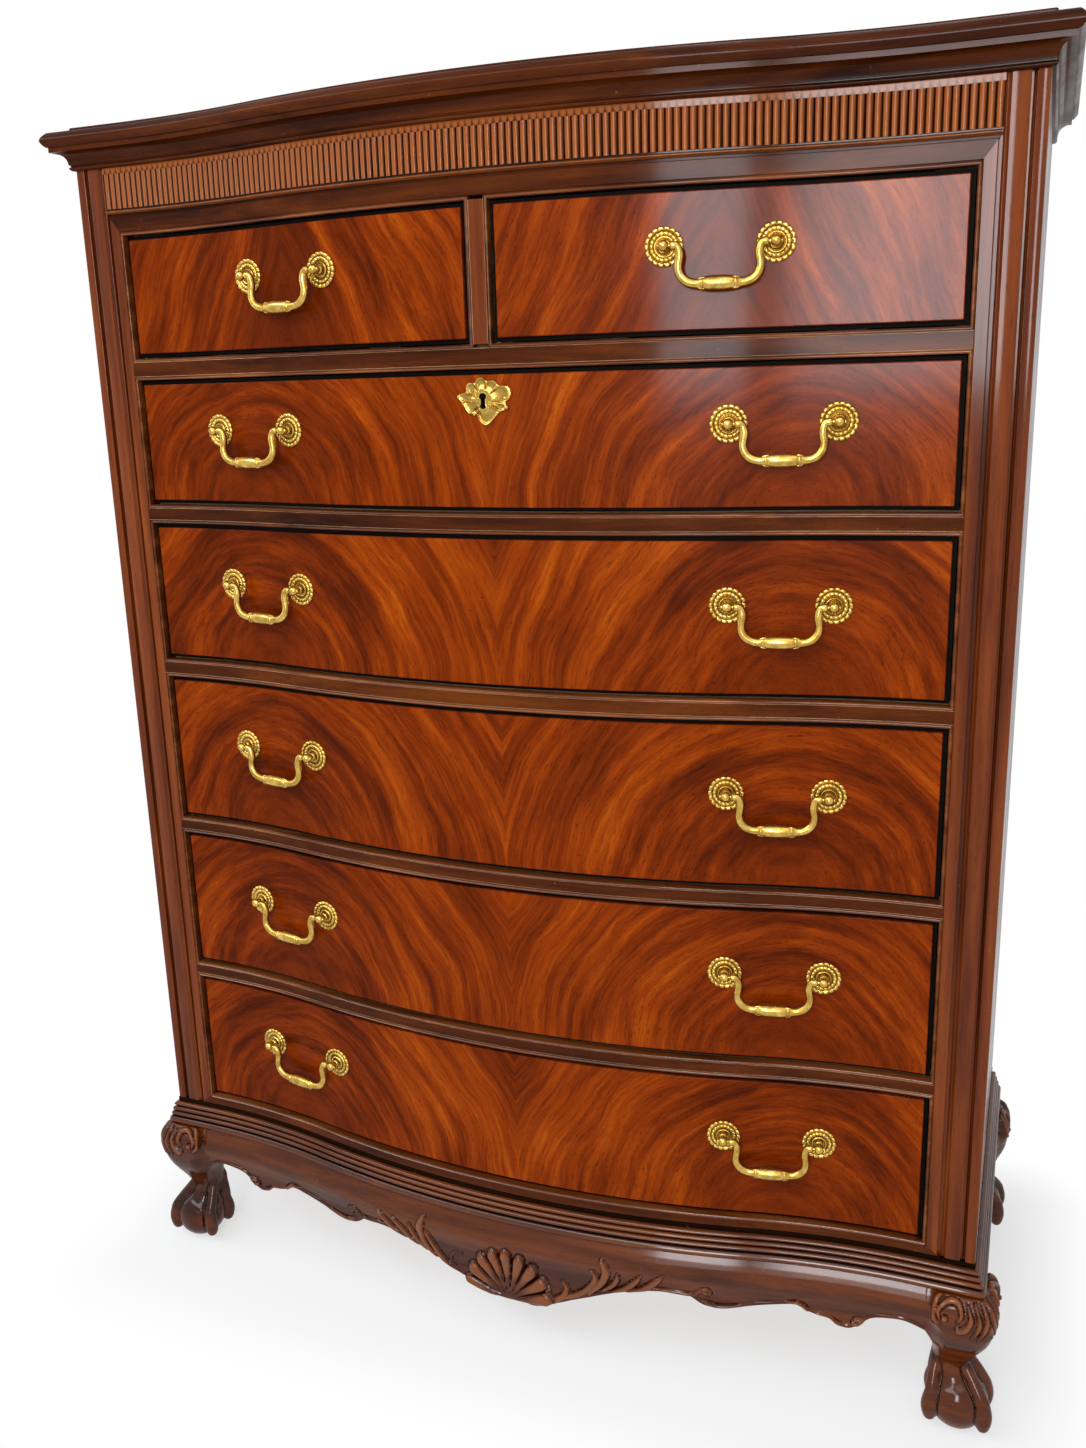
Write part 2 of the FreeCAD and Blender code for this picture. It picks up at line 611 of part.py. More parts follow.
def make_side_apron():
    """Right side apron between the front and rear legs, with one long cut-away arch."""
    y0 = FACE_Y + LEG_BLOCK
    y1 = BACK_Y - REAR_LEG_INSET - LEG_BLOCK
    foot = FOOT_HEIGHT - SIDE_APRON_DEPTH
    arch = foot + SIDE_ARCH_RISE
    dip = SIDE_ARCH_RISE / 3
    run = (y1 - y0) / 6
    outline = [V(0, y0, foot), V(0, y0 + run, arch), V(0, y0 + 2 * run, arch - dip),
               V(0, (y0 + y1) / 2, foot - dip), V(0, y1 - 2 * run, arch - dip),
               V(0, y1 - run, arch), V(0, y1, foot)]
    curve = Part.BSplineCurve()
    curve.interpolate(outline)
    top0 = V(0, y0, FOOT_HEIGHT)
    top1 = V(0, y1, FOOT_HEIGHT)
    wire = Part.Wire([curve.toShape(), Part.LineSegment(outline[-1], top1).toShape(),
                      Part.LineSegment(top1, top0).toShape(),
                      Part.LineSegment(top0, outline[0]).toShape()])
    board = Part.Face(wire).extrude(V(APRON_THICKNESS, 0, 0))
    board.translate(V(HALF_CASE + APRON_PROJECTION - APRON_THICKNESS, 0, 0))
    return board


def rounded_square(inner, outer, z):
    """Section of a leg between two distances from the case corner, on both axes."""
    r = min(LEG_CORNER_RADIUS, (outer - inner) * 0.4)
    bulge = r * (1 - math.sqrt(0.5))
    corners = [(inner, inner, 1, 1), (outer, inner, -1, 1),
               (outer, outer, -1, -1), (inner, outer, 1, -1)]
    arcs = []
    for i, (x, y, sx, sy) in enumerate(corners):
        along_x = i % 2
        start = V(x + sx * r * along_x, y + sy * r * (1 - along_x), z)
        via = V(x + sx * bulge, y + sy * bulge, z)
        end = V(x + sx * r * (1 - along_x), y + sy * r * along_x, z)
        arcs.append((start, via, end))
    edges = []
    for i, (start, via, end) in enumerate(arcs):
        edges.append(Part.Arc(start, via, end).toShape())
        edges.append(Part.LineSegment(end, arcs[(i + 1) % 4][0]).toShape())
    return Part.Wire(edges)


def ankle_height():
    """Floor to the slimmest part of the leg, just above the claw."""
    return 3.28 * BALL_RADIUS


def leg_sections():
    """Height, inner side and outer side of the leg: knee, ankle and top of the claw.
    The knee's heights are shares of the leg above the ankle."""
    ankle = ankle_height()
    knee = [(1.0, -LEG_BLOCK, KNEE_REACH / 2), (0.85, -LEG_BLOCK, KNEE_REACH * 0.9),
            (0.685, -LEG_BLOCK, KNEE_REACH), (0.49, -LEG_BLOCK + 1, KNEE_REACH * 0.75),
            (0.29, -LEG_BLOCK + 5, KNEE_REACH * 0.18)]
    sections = [(ankle + share * (FOOT_HEIGHT - ankle), inner, outer)
                for share, inner, outer in knee]
    for share, widening in ((0.12, 1.75), (0, 0)):
        half = ANKLE_HALF + widening
        z = ankle + share * (FOOT_HEIGHT - ankle)
        sections.append((z, -ANKLE_CENTRE - half, half - ANKLE_CENTRE))
    for drop, widening, shift in ((0.345, 2.75, 0.75), (0.79, 8.75, 2.75)):
        half = ANKLE_HALF + widening
        z = ankle - drop * BALL_RADIUS
        sections.append((z, -ANKLE_CENTRE + shift - half, -ANKLE_CENTRE + shift + half))
    return sections


def circle_along(centre, direction, radius):
    return Part.Wire(Part.Circle(centre, direction, radius).toShape())


def make_talon(angle):
    """One toe: over the ball from the ankle to the floor, with a knuckle half way.
    Reach from the ball's axis, height and thickness are given in ball radii."""
    path = [(0.31, 3.1, 0.26), (0.76, 2.62, 0.276), (1.07, 2.07, 0.276),
            (1.155, 1.45, 0.26), (1.1, 0.83, 0.24), (0.98, 0.28, 0.172)]
    lean = FOOT_CENTRE - ANKLE_CENTRE
    points = []
    for i, (reach, height, thickness) in enumerate(path):
        shift = lean * (1 - i / 2) if i < 2 else 0
        points.append(V(BALL_RADIUS * reach * math.cos(angle) + shift,
                        BALL_RADIUS * reach * math.sin(angle) + shift,
                        BALL_RADIUS * height))
    wires = []
    for i, point in enumerate(points):
        ahead = points[min(i + 1, len(points) - 1)]
        behind = points[max(i - 1, 0)]
        wires.append(circle_along(point, ahead - behind, BALL_RADIUS * path[i][2]))
    tip = Part.makeSphere(BALL_RADIUS * path[-1][2], points[-1])
    return Part.makeLoft(wires, True).fuse(tip)


def make_leg():
    """One leg and foot about the case corner at the origin, with its outer sides on +X
    and +Y."""
    shaft = Part.makeLoft([rounded_square(a, b, z) for z, a, b in leg_sections()], True)
    ball = Part.makeSphere(BALL_RADIUS, V(0, 0, BALL_RADIUS - FOOT_FLAT))
    web = Part.makeCone(BALL_RADIUS * 0.8, ANKLE_HALF, 1.45 * BALL_RADIUS,
                        V(0, 0, 1.4 * BALL_RADIUS), UP)
    talons = [make_talon(math.pi / 4 + i * 2 * math.pi / TALON_COUNT)
              for i in range(TALON_COUNT)]
    foot = ball.fuse([web] + talons)
    foot.translate(V(-FOOT_CENTRE, -FOOT_CENTRE, 0))
    corner = block(-LEG_BLOCK, KNEE_REACH + PAST, -LEG_BLOCK, KNEE_REACH + PAST,
                   0, FOOT_HEIGHT)
    return shaft.fuse(foot).common(corner)


def place_leg(leg, side, rear):
    """Turn the leg to one of the four corners of the case."""
    placed = leg.mirror(V(0, 0, 0), V(0, 1, 0)) if not rear else leg.copy()
    y = BACK_Y - REAR_LEG_INSET if rear else FACE_Y
    placed.translate(V(HALF_CASE, y, 0))
    return mirrored(placed) if side < 0 else placed


# ---- Drawers -----------------------------------------------------------------------
def lock_middle_y():
    """Middle of the lock's thickness, let into the back of its drawer front."""
    back = front_y(0, -FRONT_RECESS - FRONT_THICKNESS)
    return back - LOCK_THICKNESS / 2


def make_drawer_front(x0, x1, z0, z1):
    """Bowed front with a rebate round its veneered face."""
    core = bowed(x0 + FRONT_GAP, x1 - FRONT_GAP, -FRONT_RECESS - REBATE_DEPTH,
                 -FRONT_RECESS - FRONT_THICKNESS, z0 + FRONT_GAP, z1 - FRONT_GAP)
    face = bowed(x0 + FACE_MARGIN, x1 - FACE_MARGIN, -FRONT_RECESS,
                 -FRONT_RECESS - REBATE_DEPTH, z0 + FACE_MARGIN, z1 - FACE_MARGIN)
    return core.fuse(face).removeSplitter()


def make_drawer_box(x0, x1, z0, z1):
    """Two sides, the back and the bottom, joined behind the front."""
    left = x0 + BOX_SIDE_GAP
    right = x1 - BOX_SIDE_GAP
    front = -FRONT_RECESS - FRONT_THICKNESS
    end_y = INSIDE_BACK_Y - BOX_BACK_GAP
    bottom = z0 + BOX_BOTTOM_RISE
    top = z1 - BOX_TOP_GAP
    low = z0 + RUNNING_GAP
    inner0 = left + BOX_SIDE_THICKNESS
    inner1 = right - BOX_SIDE_THICKNESS
    floor = bowed(inner0, inner1, front, straight(end_y), bottom, bottom + BOX_BOTTOM_THICKNESS)
    back = block(inner0, inner1, end_y - BOX_SIDE_THICKNESS, end_y,
                 bottom + BOX_BOTTOM_THICKNESS, top - BOX_BACK_DROP)
    return [bowed(left, inner0, front, straight(end_y), low, top),
            bowed(inner1, right, front, straight(end_y), low, top), back, floor]


def keyhole(y0, y1):
    """Round eye over a narrower slot, through the drawer front and the escutcheon."""
    z = ROWS[1][1] - KEYHOLE_DROP
    eye = Part.makeCylinder(KEYHOLE_RADIUS, y1 - y0, V(0, y0, z), V(0, 1, 0))
    half = KEYHOLE_SLOT_WIDTH / 2
    slot = block(-half, half, y0, y1, z - KEYHOLE_SLOT_DROP, z)
    foot = Part.makeCylinder(half, y1 - y0, V(0, y0, z - KEYHOLE_SLOT_DROP), V(0, 1, 0))
    return eye.fuse([slot, foot])


def lock_body(clearance, past):
    """The lock's outer block in the back of the front, or the pocket it lies in, which
    runs past the front's back and top edge."""
    top = ROWS[1][1] - FRONT_GAP
    back = front_y(0, -FRONT_RECESS - FRONT_THICKNESS)
    half = LOCK_WIDTH / 2 + clearance
    return block(-half, half, back - LOCK_THICKNESS - clearance, back + past,
                 top - LOCK_HEIGHT - clearance, top + past)


def make_bolt(clearance):
    top = ROWS[1][1] - FRONT_GAP
    half = BOLT_WIDTH / 2 + clearance
    deep = BOLT_THICKNESS / 2 + clearance
    middle = lock_middle_y()
    return block(-half, half, middle - deep, middle + deep,
                 top - BOLT_LENGTH - clearance, top - RUNNING_GAP + clearance)


def make_lock_case():
    back = front_y(0, -FRONT_RECESS - FRONT_THICKNESS)
    case = lock_body(0, 0).cut(make_bolt(BOLT_CLEARANCE))
    z = ROWS[1][1] - KEYHOLE_DROP
    hole = Part.makeCylinder(KEYHOLE_RADIUS, LOCK_THICKNESS, V(0, back - LOCK_THICKNESS - PAST, z),
                             V(0, 1, 0))
    return case.cut(hole)


def make_escutcheon():
    """Shell-shaped plate: a fan of lobes narrowing to a short tail."""
    lobes = 7
    spread = math.radians(98)
    valley = 0.85                 # depth of the valleys between the lobes
    half_w = ESCUTCHEON_WIDTH / 2
    half_h = ESCUTCHEON_HEIGHT / 2
    step = spread / lobes

    def rim(turn, reach):
        return V(half_w * reach * math.sin(turn), 0, half_h * reach * math.cos(turn))

    edges = []
    for i in range(lobes):
        turn = -spread + (2 * i + 1) * step
        lobe = Part.Arc(rim(turn - step, valley), rim(turn, 1), rim(turn + step, valley))
        edges.append(lobe.toShape())
    shoulder = V(half_w * 0.35, 0, -half_h * 0.65)
    tail = [rim(spread, valley), shoulder, V(0, 0, -half_h),
            V(-shoulder.x, 0, shoulder.z), rim(-spread, valley)]
    for a, b in zip(tail, tail[1:]):
        edges.append(Part.LineSegment(a, b).toShape())
    face = front_y(0, -FRONT_RECESS)
    plate = Part.Face(Part.Wire(edges)).extrude(V(0, ESCUTCHEON_THICKNESS, 0))
    plate.translate(V(0, face - ESCUTCHEON_THICKNESS, ROWS[1][1] - KEYHOLE_DROP))
    return plate.cut(keyhole(face - ESCUTCHEON_THICKNESS - PAST, face + PAST))


# ---- Pulls -------------------------------------------------------------------------
class PullFrame:
    """Place of one pull: its chord across the bow, and the outward normal of the chord."""

    def __init__(self, x, z):
        turn = 0.0
        for _ in range(4):
            half = PULL_BORING / 2 * math.cos(turn)
            y0 = front_y(x - half, -FRONT_RECESS)
            y1 = front_y(x + half, -FRONT_RECESS)
            turn = math.atan2(y1 - y0, 2 * half)
        self.turn = turn
        self.along = V(math.cos(turn), math.sin(turn), 0)
        self.out = V(math.sin(turn), -math.cos(turn), 0)
        self.seats = [V(x - half, y0, z), V(x + half, y1, z)]
        self.middle = (self.seats[0] + self.seats[1]) * 0.5

    def at(self, seat, along, out, up=0.0):
        return seat + self.along * along + self.out * out + UP * up


def pull_places():
    """Every pull: its own name, its drawer's name and its frame."""
    places = []
    for name, x0, x1, z0, z1 in openings():
        z = (z0 + z1) / 2 + PULL_RISE
        row = name.split("_")[1]
        for side, x in (("left", -1), ("right", 1)):
            if row == "1" and side not in name:
                continue
            across = (x0 + x1) / 2 if row == "1" else x * PULL_SPACING / 2
            bail = "bail_%s_%s" % (row, side)
            places.append((bail, name, PullFrame(across, z)))
    return places


def make_rosette(frame, seat, front):
    """Dished plate whose back is scribed to the drawer front."""
    under = 2.0                   # reaches into the bow's hollow before it is scribed
    disc = Part.makeCylinder(ROSETTE_RADIUS, ROSETTE_DISH + under,
                             frame.at(seat, 0, -under), frame.out)
    rise = ROSETTE_THICKNESS - ROSETTE_DISH
    rim = Part.makeCone(ROSETTE_RIM_RADIUS, ROSETTE_RIM_RADIUS - rise, rise,
                        frame.at(seat, 0, ROSETTE_DISH), frame.out)
    hole = Part.makeCylinder(POST_NECK_RADIUS + SHANK_CLEARANCE, ROSETTE_THICKNESS + 2 * PAST,
                             frame.at(seat, 0, -PAST), frame.out)
    return disc.fuse(rim).cut(hole).cut(front)


def make_post(frame, seat):
    """Ball-headed post on a bolt that goes through the drawer front."""
    through = FRONT_THICKNESS + NUT_THICKNESS + 3
    shank = Part.makeCylinder(POST_SHANK_RADIUS, through + 1,
                              frame.at(seat, 0, -through), frame.out)
    neck = Part.makeCylinder(POST_NECK_RADIUS, PIN_REACH - 1, frame.at(seat, 0, 1), frame.out)
    ball = Part.makeSphere(POST_BALL_RADIUS, frame.at(seat, 0, PIN_REACH))
    hole = Part.makeCylinder(PIN_RADIUS + PIN_CLEARANCE, 4 * POST_BALL_RADIUS,
                             frame.at(seat, -2 * POST_BALL_RADIUS, PIN_REACH), frame.along)
    return shank.fuse([neck, ball]).cut(hole)


def make_nut(frame, seat, front):
    start = frame.at(seat, 0, -FRONT_THICKNESS - NUT_THICKNESS)
    nut = Part.makeCylinder(NUT_RADIUS, NUT_THICKNESS + 2, start, frame.out)
    hole = Part.makeCylinder(POST_SHANK_RADIUS, 4 * NUT_THICKNESS, start - frame.out, frame.out)
    return nut.cut(hole).cut(front)


def shank_hole(frame, seat):
    """Hole for the post's bolt through the drawer front."""
    return Part.makeCylinder(POST_SHANK_RADIUS + SHANK_CLEARANCE, 2 * FRONT_THICKNESS,
                             frame.at(seat, 0, -1.5 * FRONT_THICKNESS), frame.out)


def rounded_path(points, radii):
    """Straight runs between the points, joined by tangent arcs at the inner ones."""
    edges = []
    start = points[0]
    for before, corner, after, radius in zip(points, points[1:], points[2:], radii):
        back = (before - corner).normalize()
        ahead = (after - corner).normalize()
        half_angle = back.getAngle(ahead) / 2
        cut = radius / math.tan(half_angle)
        leave = corner + back * cut
        enter = corner + ahead * cut
        bisector = (back + ahead).normalize()
        via = corner + bisector * (radius / math.sin(half_angle) - radius)
        edges.append(Part.LineSegment(start, leave).toShape())
        edges.append(Part.Arc(leave, via, enter).toShape())
        start = enter
    edges.append(Part.LineSegment(start, points[-1]).toShape())
    return Part.Wire(edges)


def make_bail(frame):
    """Swinging handle: pins through both posts, ogee arms and a swelling grip."""
    half = PULL_BORING / 2
    pin_start = half - POST_BALL_RADIUS - 2.5
    middle = frame.middle

    def at(along, drop):
        return frame.at(middle, along, PIN_REACH, -drop)

    corners = [(pin_start, 0), (half - BAIL_SHOULDER, 0), (half - BAIL_HIP, BAIL_HIP_DROP),
               (half - BAIL_FOOT, BAIL_DROP)]
    bends = [BAIL_SHOULDER_BEND, BAIL_HIP_BEND, BAIL_FOOT_BEND]
    loop = [at(a, d) for a, d in corners]
    other = [at(-a, d) for a, d in reversed(corners)]
    path = rounded_path(loop + other, bends + bends[::-1])
    section = circle_along(loop[0], frame.along, BAIL_RADIUS)
    arm = path.makePipeShell([section], True, True)
    grip_end = GRIP_LENGTH / 2
    waist = BAIL_RADIUS * 1.08
    ends = [at(-grip_end, BAIL_DROP), at(-grip_end, BAIL_DROP - waist),
            at(grip_end, BAIL_DROP - waist), at(grip_end, BAIL_DROP)]
    swell = Part.Arc(ends[1], at(0, BAIL_DROP - GRIP_RADIUS), ends[2]).toShape()
    outline = Part.Wire([Part.LineSegment(ends[0], ends[1]).toShape(), swell,
                         Part.LineSegment(ends[2], ends[3]).toShape(),
                         Part.LineSegment(ends[3], ends[0]).toShape()])
    grip = Part.Face(outline).revolve(ends[0], frame.along, 360)
    pieces = [grip]
    for side in (-1, 1):
        outer = half + POST_BALL_RADIUS + 1.0
        a = at(side * (pin_start - 1), 0)
        direction = frame.along * side
        pieces.append(Part.makeCylinder(PIN_RADIUS, outer - pin_start + 1, a, direction))
        pieces.append(Part.makeSphere(PIN_END_RADIUS, at(side * (outer + 1.5), 0)))
    return arm.fuse(pieces)


# ---- Build -------------------------------------------------------------------------
def build_case():
    side = make_side_panel()
    export("side_panel_left", [mirrored(side)])
    export("side_panel_right", [side])
    export("back_panel", [make_back_panel()])
    export("case_top", [make_case_top()])
    export("top_board", [make_top_board()])
    export("cornice_moulding", make_cornice())
    export("frieze", [make_frieze()])
    pilaster = make_pilaster()
    export("pilasters", [pilaster, mirrored(pilaster)])
    export("face_frame", make_face_frame())
    export("drawer_rails", make_drawer_rails())
    export("drawer_divider", [make_divider()])
    export("cock_beading", make_cock_beading())
    export("drawer_runners", make_drawer_runners())
    export("dust_panels", make_dust_panels())
    export("drawer_stops", make_drawer_stops())


def build_base():
    export("base_frame", make_base_frame())
    export("base_moulding", make_base_moulding())
    export("apron_front", [make_apron_front()])
    side = make_side_apron()
    export("apron_sides", [side, mirrored(side)])
    leg = make_leg()
    print("leg volume %.0f mm3, solids %d, valid %s" % (leg.Volume, len(leg.Solids), leg.isValid()))
    for end, rear in (("front", False), ("back", True)):
        for name, side in (("left", -1), ("right", 1)):
            export("foot_%s_%s" % (end, name), [place_leg(leg, side, rear)])


def build_drawers():
    places = pull_places()
    for name, x0, x1, z0, z1 in openings():
        front = make_drawer_front(x0, x1, z0, z1)
        hardware = []
        holes = []
        for bail, drawer, frame in places:
            if drawer != name:
                continue
            for seat in frame.seats:
                hardware.append(make_rosette(frame, seat, front))
                hardware.append(make_post(frame, seat))
                hardware.append(make_nut(frame, seat, front))
                holes.append(shank_hole(frame, seat))
            export(bail, [make_bail(frame)])
            print("%s pin axis middle %s, turn %.3f deg"
                  % (bail, frame.at(frame.middle, 0, PIN_REACH), math.degrees(frame.turn)))
        front = front.cut(holes)
        if name == "drawer_2":
            face = front_y(0, -FRONT_RECESS)
            front = front.cut([lock_body(RUNNING_GAP, PAST),
                               keyhole(face - PAST, lock_middle_y())])
        export(name + "_front", [front])
        export(name + "_box", make_drawer_box(x0, x1, z0, z1))
        export(name + "_pulls", hardware)


def build_lock():
    export("escutcheon", [make_escutcheon()])
    export("lock_case", [make_lock_case()])
    export("lock_bolt", [make_bolt(0)])


os.makedirs("parts", exist_ok=True)
build_case()
build_base()
build_drawers()
build_lock()
print("height %.1f mm, width %.1f mm, depth %.1f mm"
      % (CASE_HEIGHT + TOP_BOARD_THICKNESS, CASE_WIDTH + 2 * CORNICE_PROJECTION, OVERALL_DEPTH))
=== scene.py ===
# %% [markdown]
# # A tall serpentine chest of drawers
# The chest is a cabinet maker's piece: a dark mahogany case with a bowed front, drawer
# fronts veneered in flame-figured mahogany, cast brass pulls and a carved base. Its
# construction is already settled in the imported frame. These cells dress that frame: every
# new piece takes its size from the frame and rides on one of its bodies.

# %% Load the frame
import bmesh
import bpy
import json
import math
import numpy as np
from mathutils import Matrix, Vector

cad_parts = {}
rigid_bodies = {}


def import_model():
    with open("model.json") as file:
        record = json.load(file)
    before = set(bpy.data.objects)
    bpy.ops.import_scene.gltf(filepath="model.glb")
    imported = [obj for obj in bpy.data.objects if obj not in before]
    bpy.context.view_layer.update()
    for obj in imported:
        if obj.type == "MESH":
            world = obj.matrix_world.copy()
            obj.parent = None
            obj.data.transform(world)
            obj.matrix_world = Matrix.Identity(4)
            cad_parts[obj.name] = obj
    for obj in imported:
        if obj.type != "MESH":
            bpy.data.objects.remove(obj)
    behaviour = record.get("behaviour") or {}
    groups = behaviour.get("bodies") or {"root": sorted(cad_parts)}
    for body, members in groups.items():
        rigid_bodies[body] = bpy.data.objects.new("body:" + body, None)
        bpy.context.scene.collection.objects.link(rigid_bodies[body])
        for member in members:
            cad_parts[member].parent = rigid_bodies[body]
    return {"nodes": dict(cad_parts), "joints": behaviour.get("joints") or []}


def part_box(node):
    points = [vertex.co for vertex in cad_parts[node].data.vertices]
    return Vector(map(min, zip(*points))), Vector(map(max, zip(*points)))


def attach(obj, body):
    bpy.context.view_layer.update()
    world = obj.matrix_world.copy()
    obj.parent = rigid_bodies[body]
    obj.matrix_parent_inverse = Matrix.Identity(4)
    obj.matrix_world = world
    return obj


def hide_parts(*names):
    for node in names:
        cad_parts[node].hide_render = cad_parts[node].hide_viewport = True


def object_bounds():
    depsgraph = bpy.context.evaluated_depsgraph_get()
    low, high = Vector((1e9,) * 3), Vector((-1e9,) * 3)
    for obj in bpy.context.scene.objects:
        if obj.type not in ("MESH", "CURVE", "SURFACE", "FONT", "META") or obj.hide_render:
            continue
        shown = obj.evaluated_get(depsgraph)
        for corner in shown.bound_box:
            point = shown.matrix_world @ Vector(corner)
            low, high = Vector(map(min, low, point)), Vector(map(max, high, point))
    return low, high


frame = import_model()
cad_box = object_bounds()
MM = 0.001
print("frame box", [round(c, 4) for corner in cad_box for c in corner])

# %% [markdown]
# ## The lines of the case
# A maker sets a bowed front out full size on a board first. The same is done here: the
# levels and widths are read from the frame, and the bow is a crown arc between two hollow
# arcs that run out level with the stiles. `front_y` gives that line at any distance in
# front of the rails, so that every bowed piece can be laid out straight and then bent.

# %% Read the levels and widths
FRONT = cad_box[0][1]
RIGHT, BACK = cad_box[1][:2]
HALF_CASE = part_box("side_panel_right")[1].x
FRAME_THICKNESS = 22 * MM
FACE_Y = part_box("face_frame")[1].y - FRAME_THICKNESS
BOW_DEPTH = FACE_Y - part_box("drawer_rails")[0].y
BEAD_WIDTH = 3.5 * MM
HALF_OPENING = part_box("cock_beading")[1].x - BEAD_WIDTH
STILE_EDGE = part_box("face_frame")[1].x
CASE_FACE_Z, TOP_RAIL_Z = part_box("face_frame")[0].z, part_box("face_frame")[1].z
CORNICE_Z, CASE_TOP_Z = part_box("cornice_moulding")[0].z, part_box("top_board")[0].z
FOOT_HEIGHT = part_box("foot_front_right")[1].z
HOLLOW_RADIUS = 825 * MM
RADII_SUM = (HALF_OPENING ** 2 + BOW_DEPTH ** 2) / (2 * BOW_DEPTH)
CROWN_RADIUS = RADII_SUM - HOLLOW_RADIUS
CROWN_Y = FACE_Y - BOW_DEPTH + CROWN_RADIUS
HOLLOW_Y = FACE_Y - HOLLOW_RADIUS


def front_y(x, out):
    """Y of the front line at x, lying out in front of the rails' faces."""
    across = abs(x)
    if across < HALF_OPENING * (CROWN_RADIUS + out) / RADII_SUM:
        return CROWN_Y - math.sqrt((CROWN_RADIUS + out) ** 2 - across ** 2)
    if across < HALF_OPENING:
        hollow = HOLLOW_RADIUS - out
        return HOLLOW_Y + math.sqrt(hollow ** 2 - (HALF_OPENING - across) ** 2)
    return FACE_Y - out


FRONT_GAP = 1.5 * MM
FRONT_RECESS = 2.5 * MM
DRAWERS = ["drawer_1_left", "drawer_1_right"] + ["drawer_%d" % row for row in range(2, 7)]


def opening(drawer):
    """Left, right, bottom and top of a drawer's opening."""
    low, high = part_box(drawer + "_front")
    return low.x - FRONT_GAP, high.x + FRONT_GAP, low.z - FRONT_GAP, high.z + FRONT_GAP


print("bow %.1f mm deep, crown radius %.0f mm" % (BOW_DEPTH / MM, CROWN_RADIUS / MM))

# %% [markdown]
# ## Camera
# The chest is seen from its right, a little from above and from close by, so the verticals
# lean in towards the floor. A camera can be aimed by eye, but the place, turn and lens here
# come from fitting the case's own corners, and a vertical shift puts the lens axis on its
# row without tilting the chest.

# %% Camera
PICTURE_HEIGHT = 1448
FOCAL_PIXELS = 1267.4
AXIS_ROW = 700                     # the row that the lens axis passes through
camera_data = bpy.data.cameras.new("camera")
camera = bpy.data.objects.new("camera", camera_data)
bpy.context.scene.collection.objects.link(camera)
camera.location = (0.5022, -1.3450, 1.0874)
camera.rotation_euler = [math.radians(turn) for turn in (75.675, 1.661, 21.225)]
camera_data.sensor_fit = "VERTICAL"
camera_data.sensor_height = 24
camera_data.lens = camera_data.sensor_height * FOCAL_PIXELS / PICTURE_HEIGHT
camera_data.shift_y = (AXIS_ROW - PICTURE_HEIGHT / 2) / PICTURE_HEIGHT
bpy.context.scene.camera = camera
bpy.context.scene.view_settings.view_transform = "Standard"
print("lens %.2f mm on a %.0f mm sensor" % (camera_data.lens, camera_data.sensor_height))

# %% [markdown]
# ## A small language for finishes
# A finish is a network of shader nodes. Written node by node, even a simple stain runs to
# pages, so two small classes carry the work: `Signal` wraps one socket and turns
# arithmetic into Math nodes, and `Finish` adds any other node from its type, its settings
# and its sockets.

# %% Signals and finishes
class Signal:
    """One socket of a finish. Arithmetic on it adds Math nodes."""

    def __init__(self, finish, socket):
        self.finish = finish
        self.socket = socket

    def math(self, operation, *others):
        values = (self,) + others
        return self.finish.node("Math", {"operation": operation}, dict(enumerate(values)))

    def __add__(self, other):
        return self.math("ADD", other)

    def __sub__(self, other):
        return self.math("SUBTRACT", other)

    def __rsub__(self, other):
        return self.finish.node("Math", {"operation": "SUBTRACT"}, {0: other, 1: self})

    def __mul__(self, other):
        return self.math("MULTIPLY", other)

    def __pow__(self, other):
        return self.math("POWER", other)

    def __abs__(self):
        return self.math("ABSOLUTE")

    __radd__ = __add__
    __rmul__ = __mul__


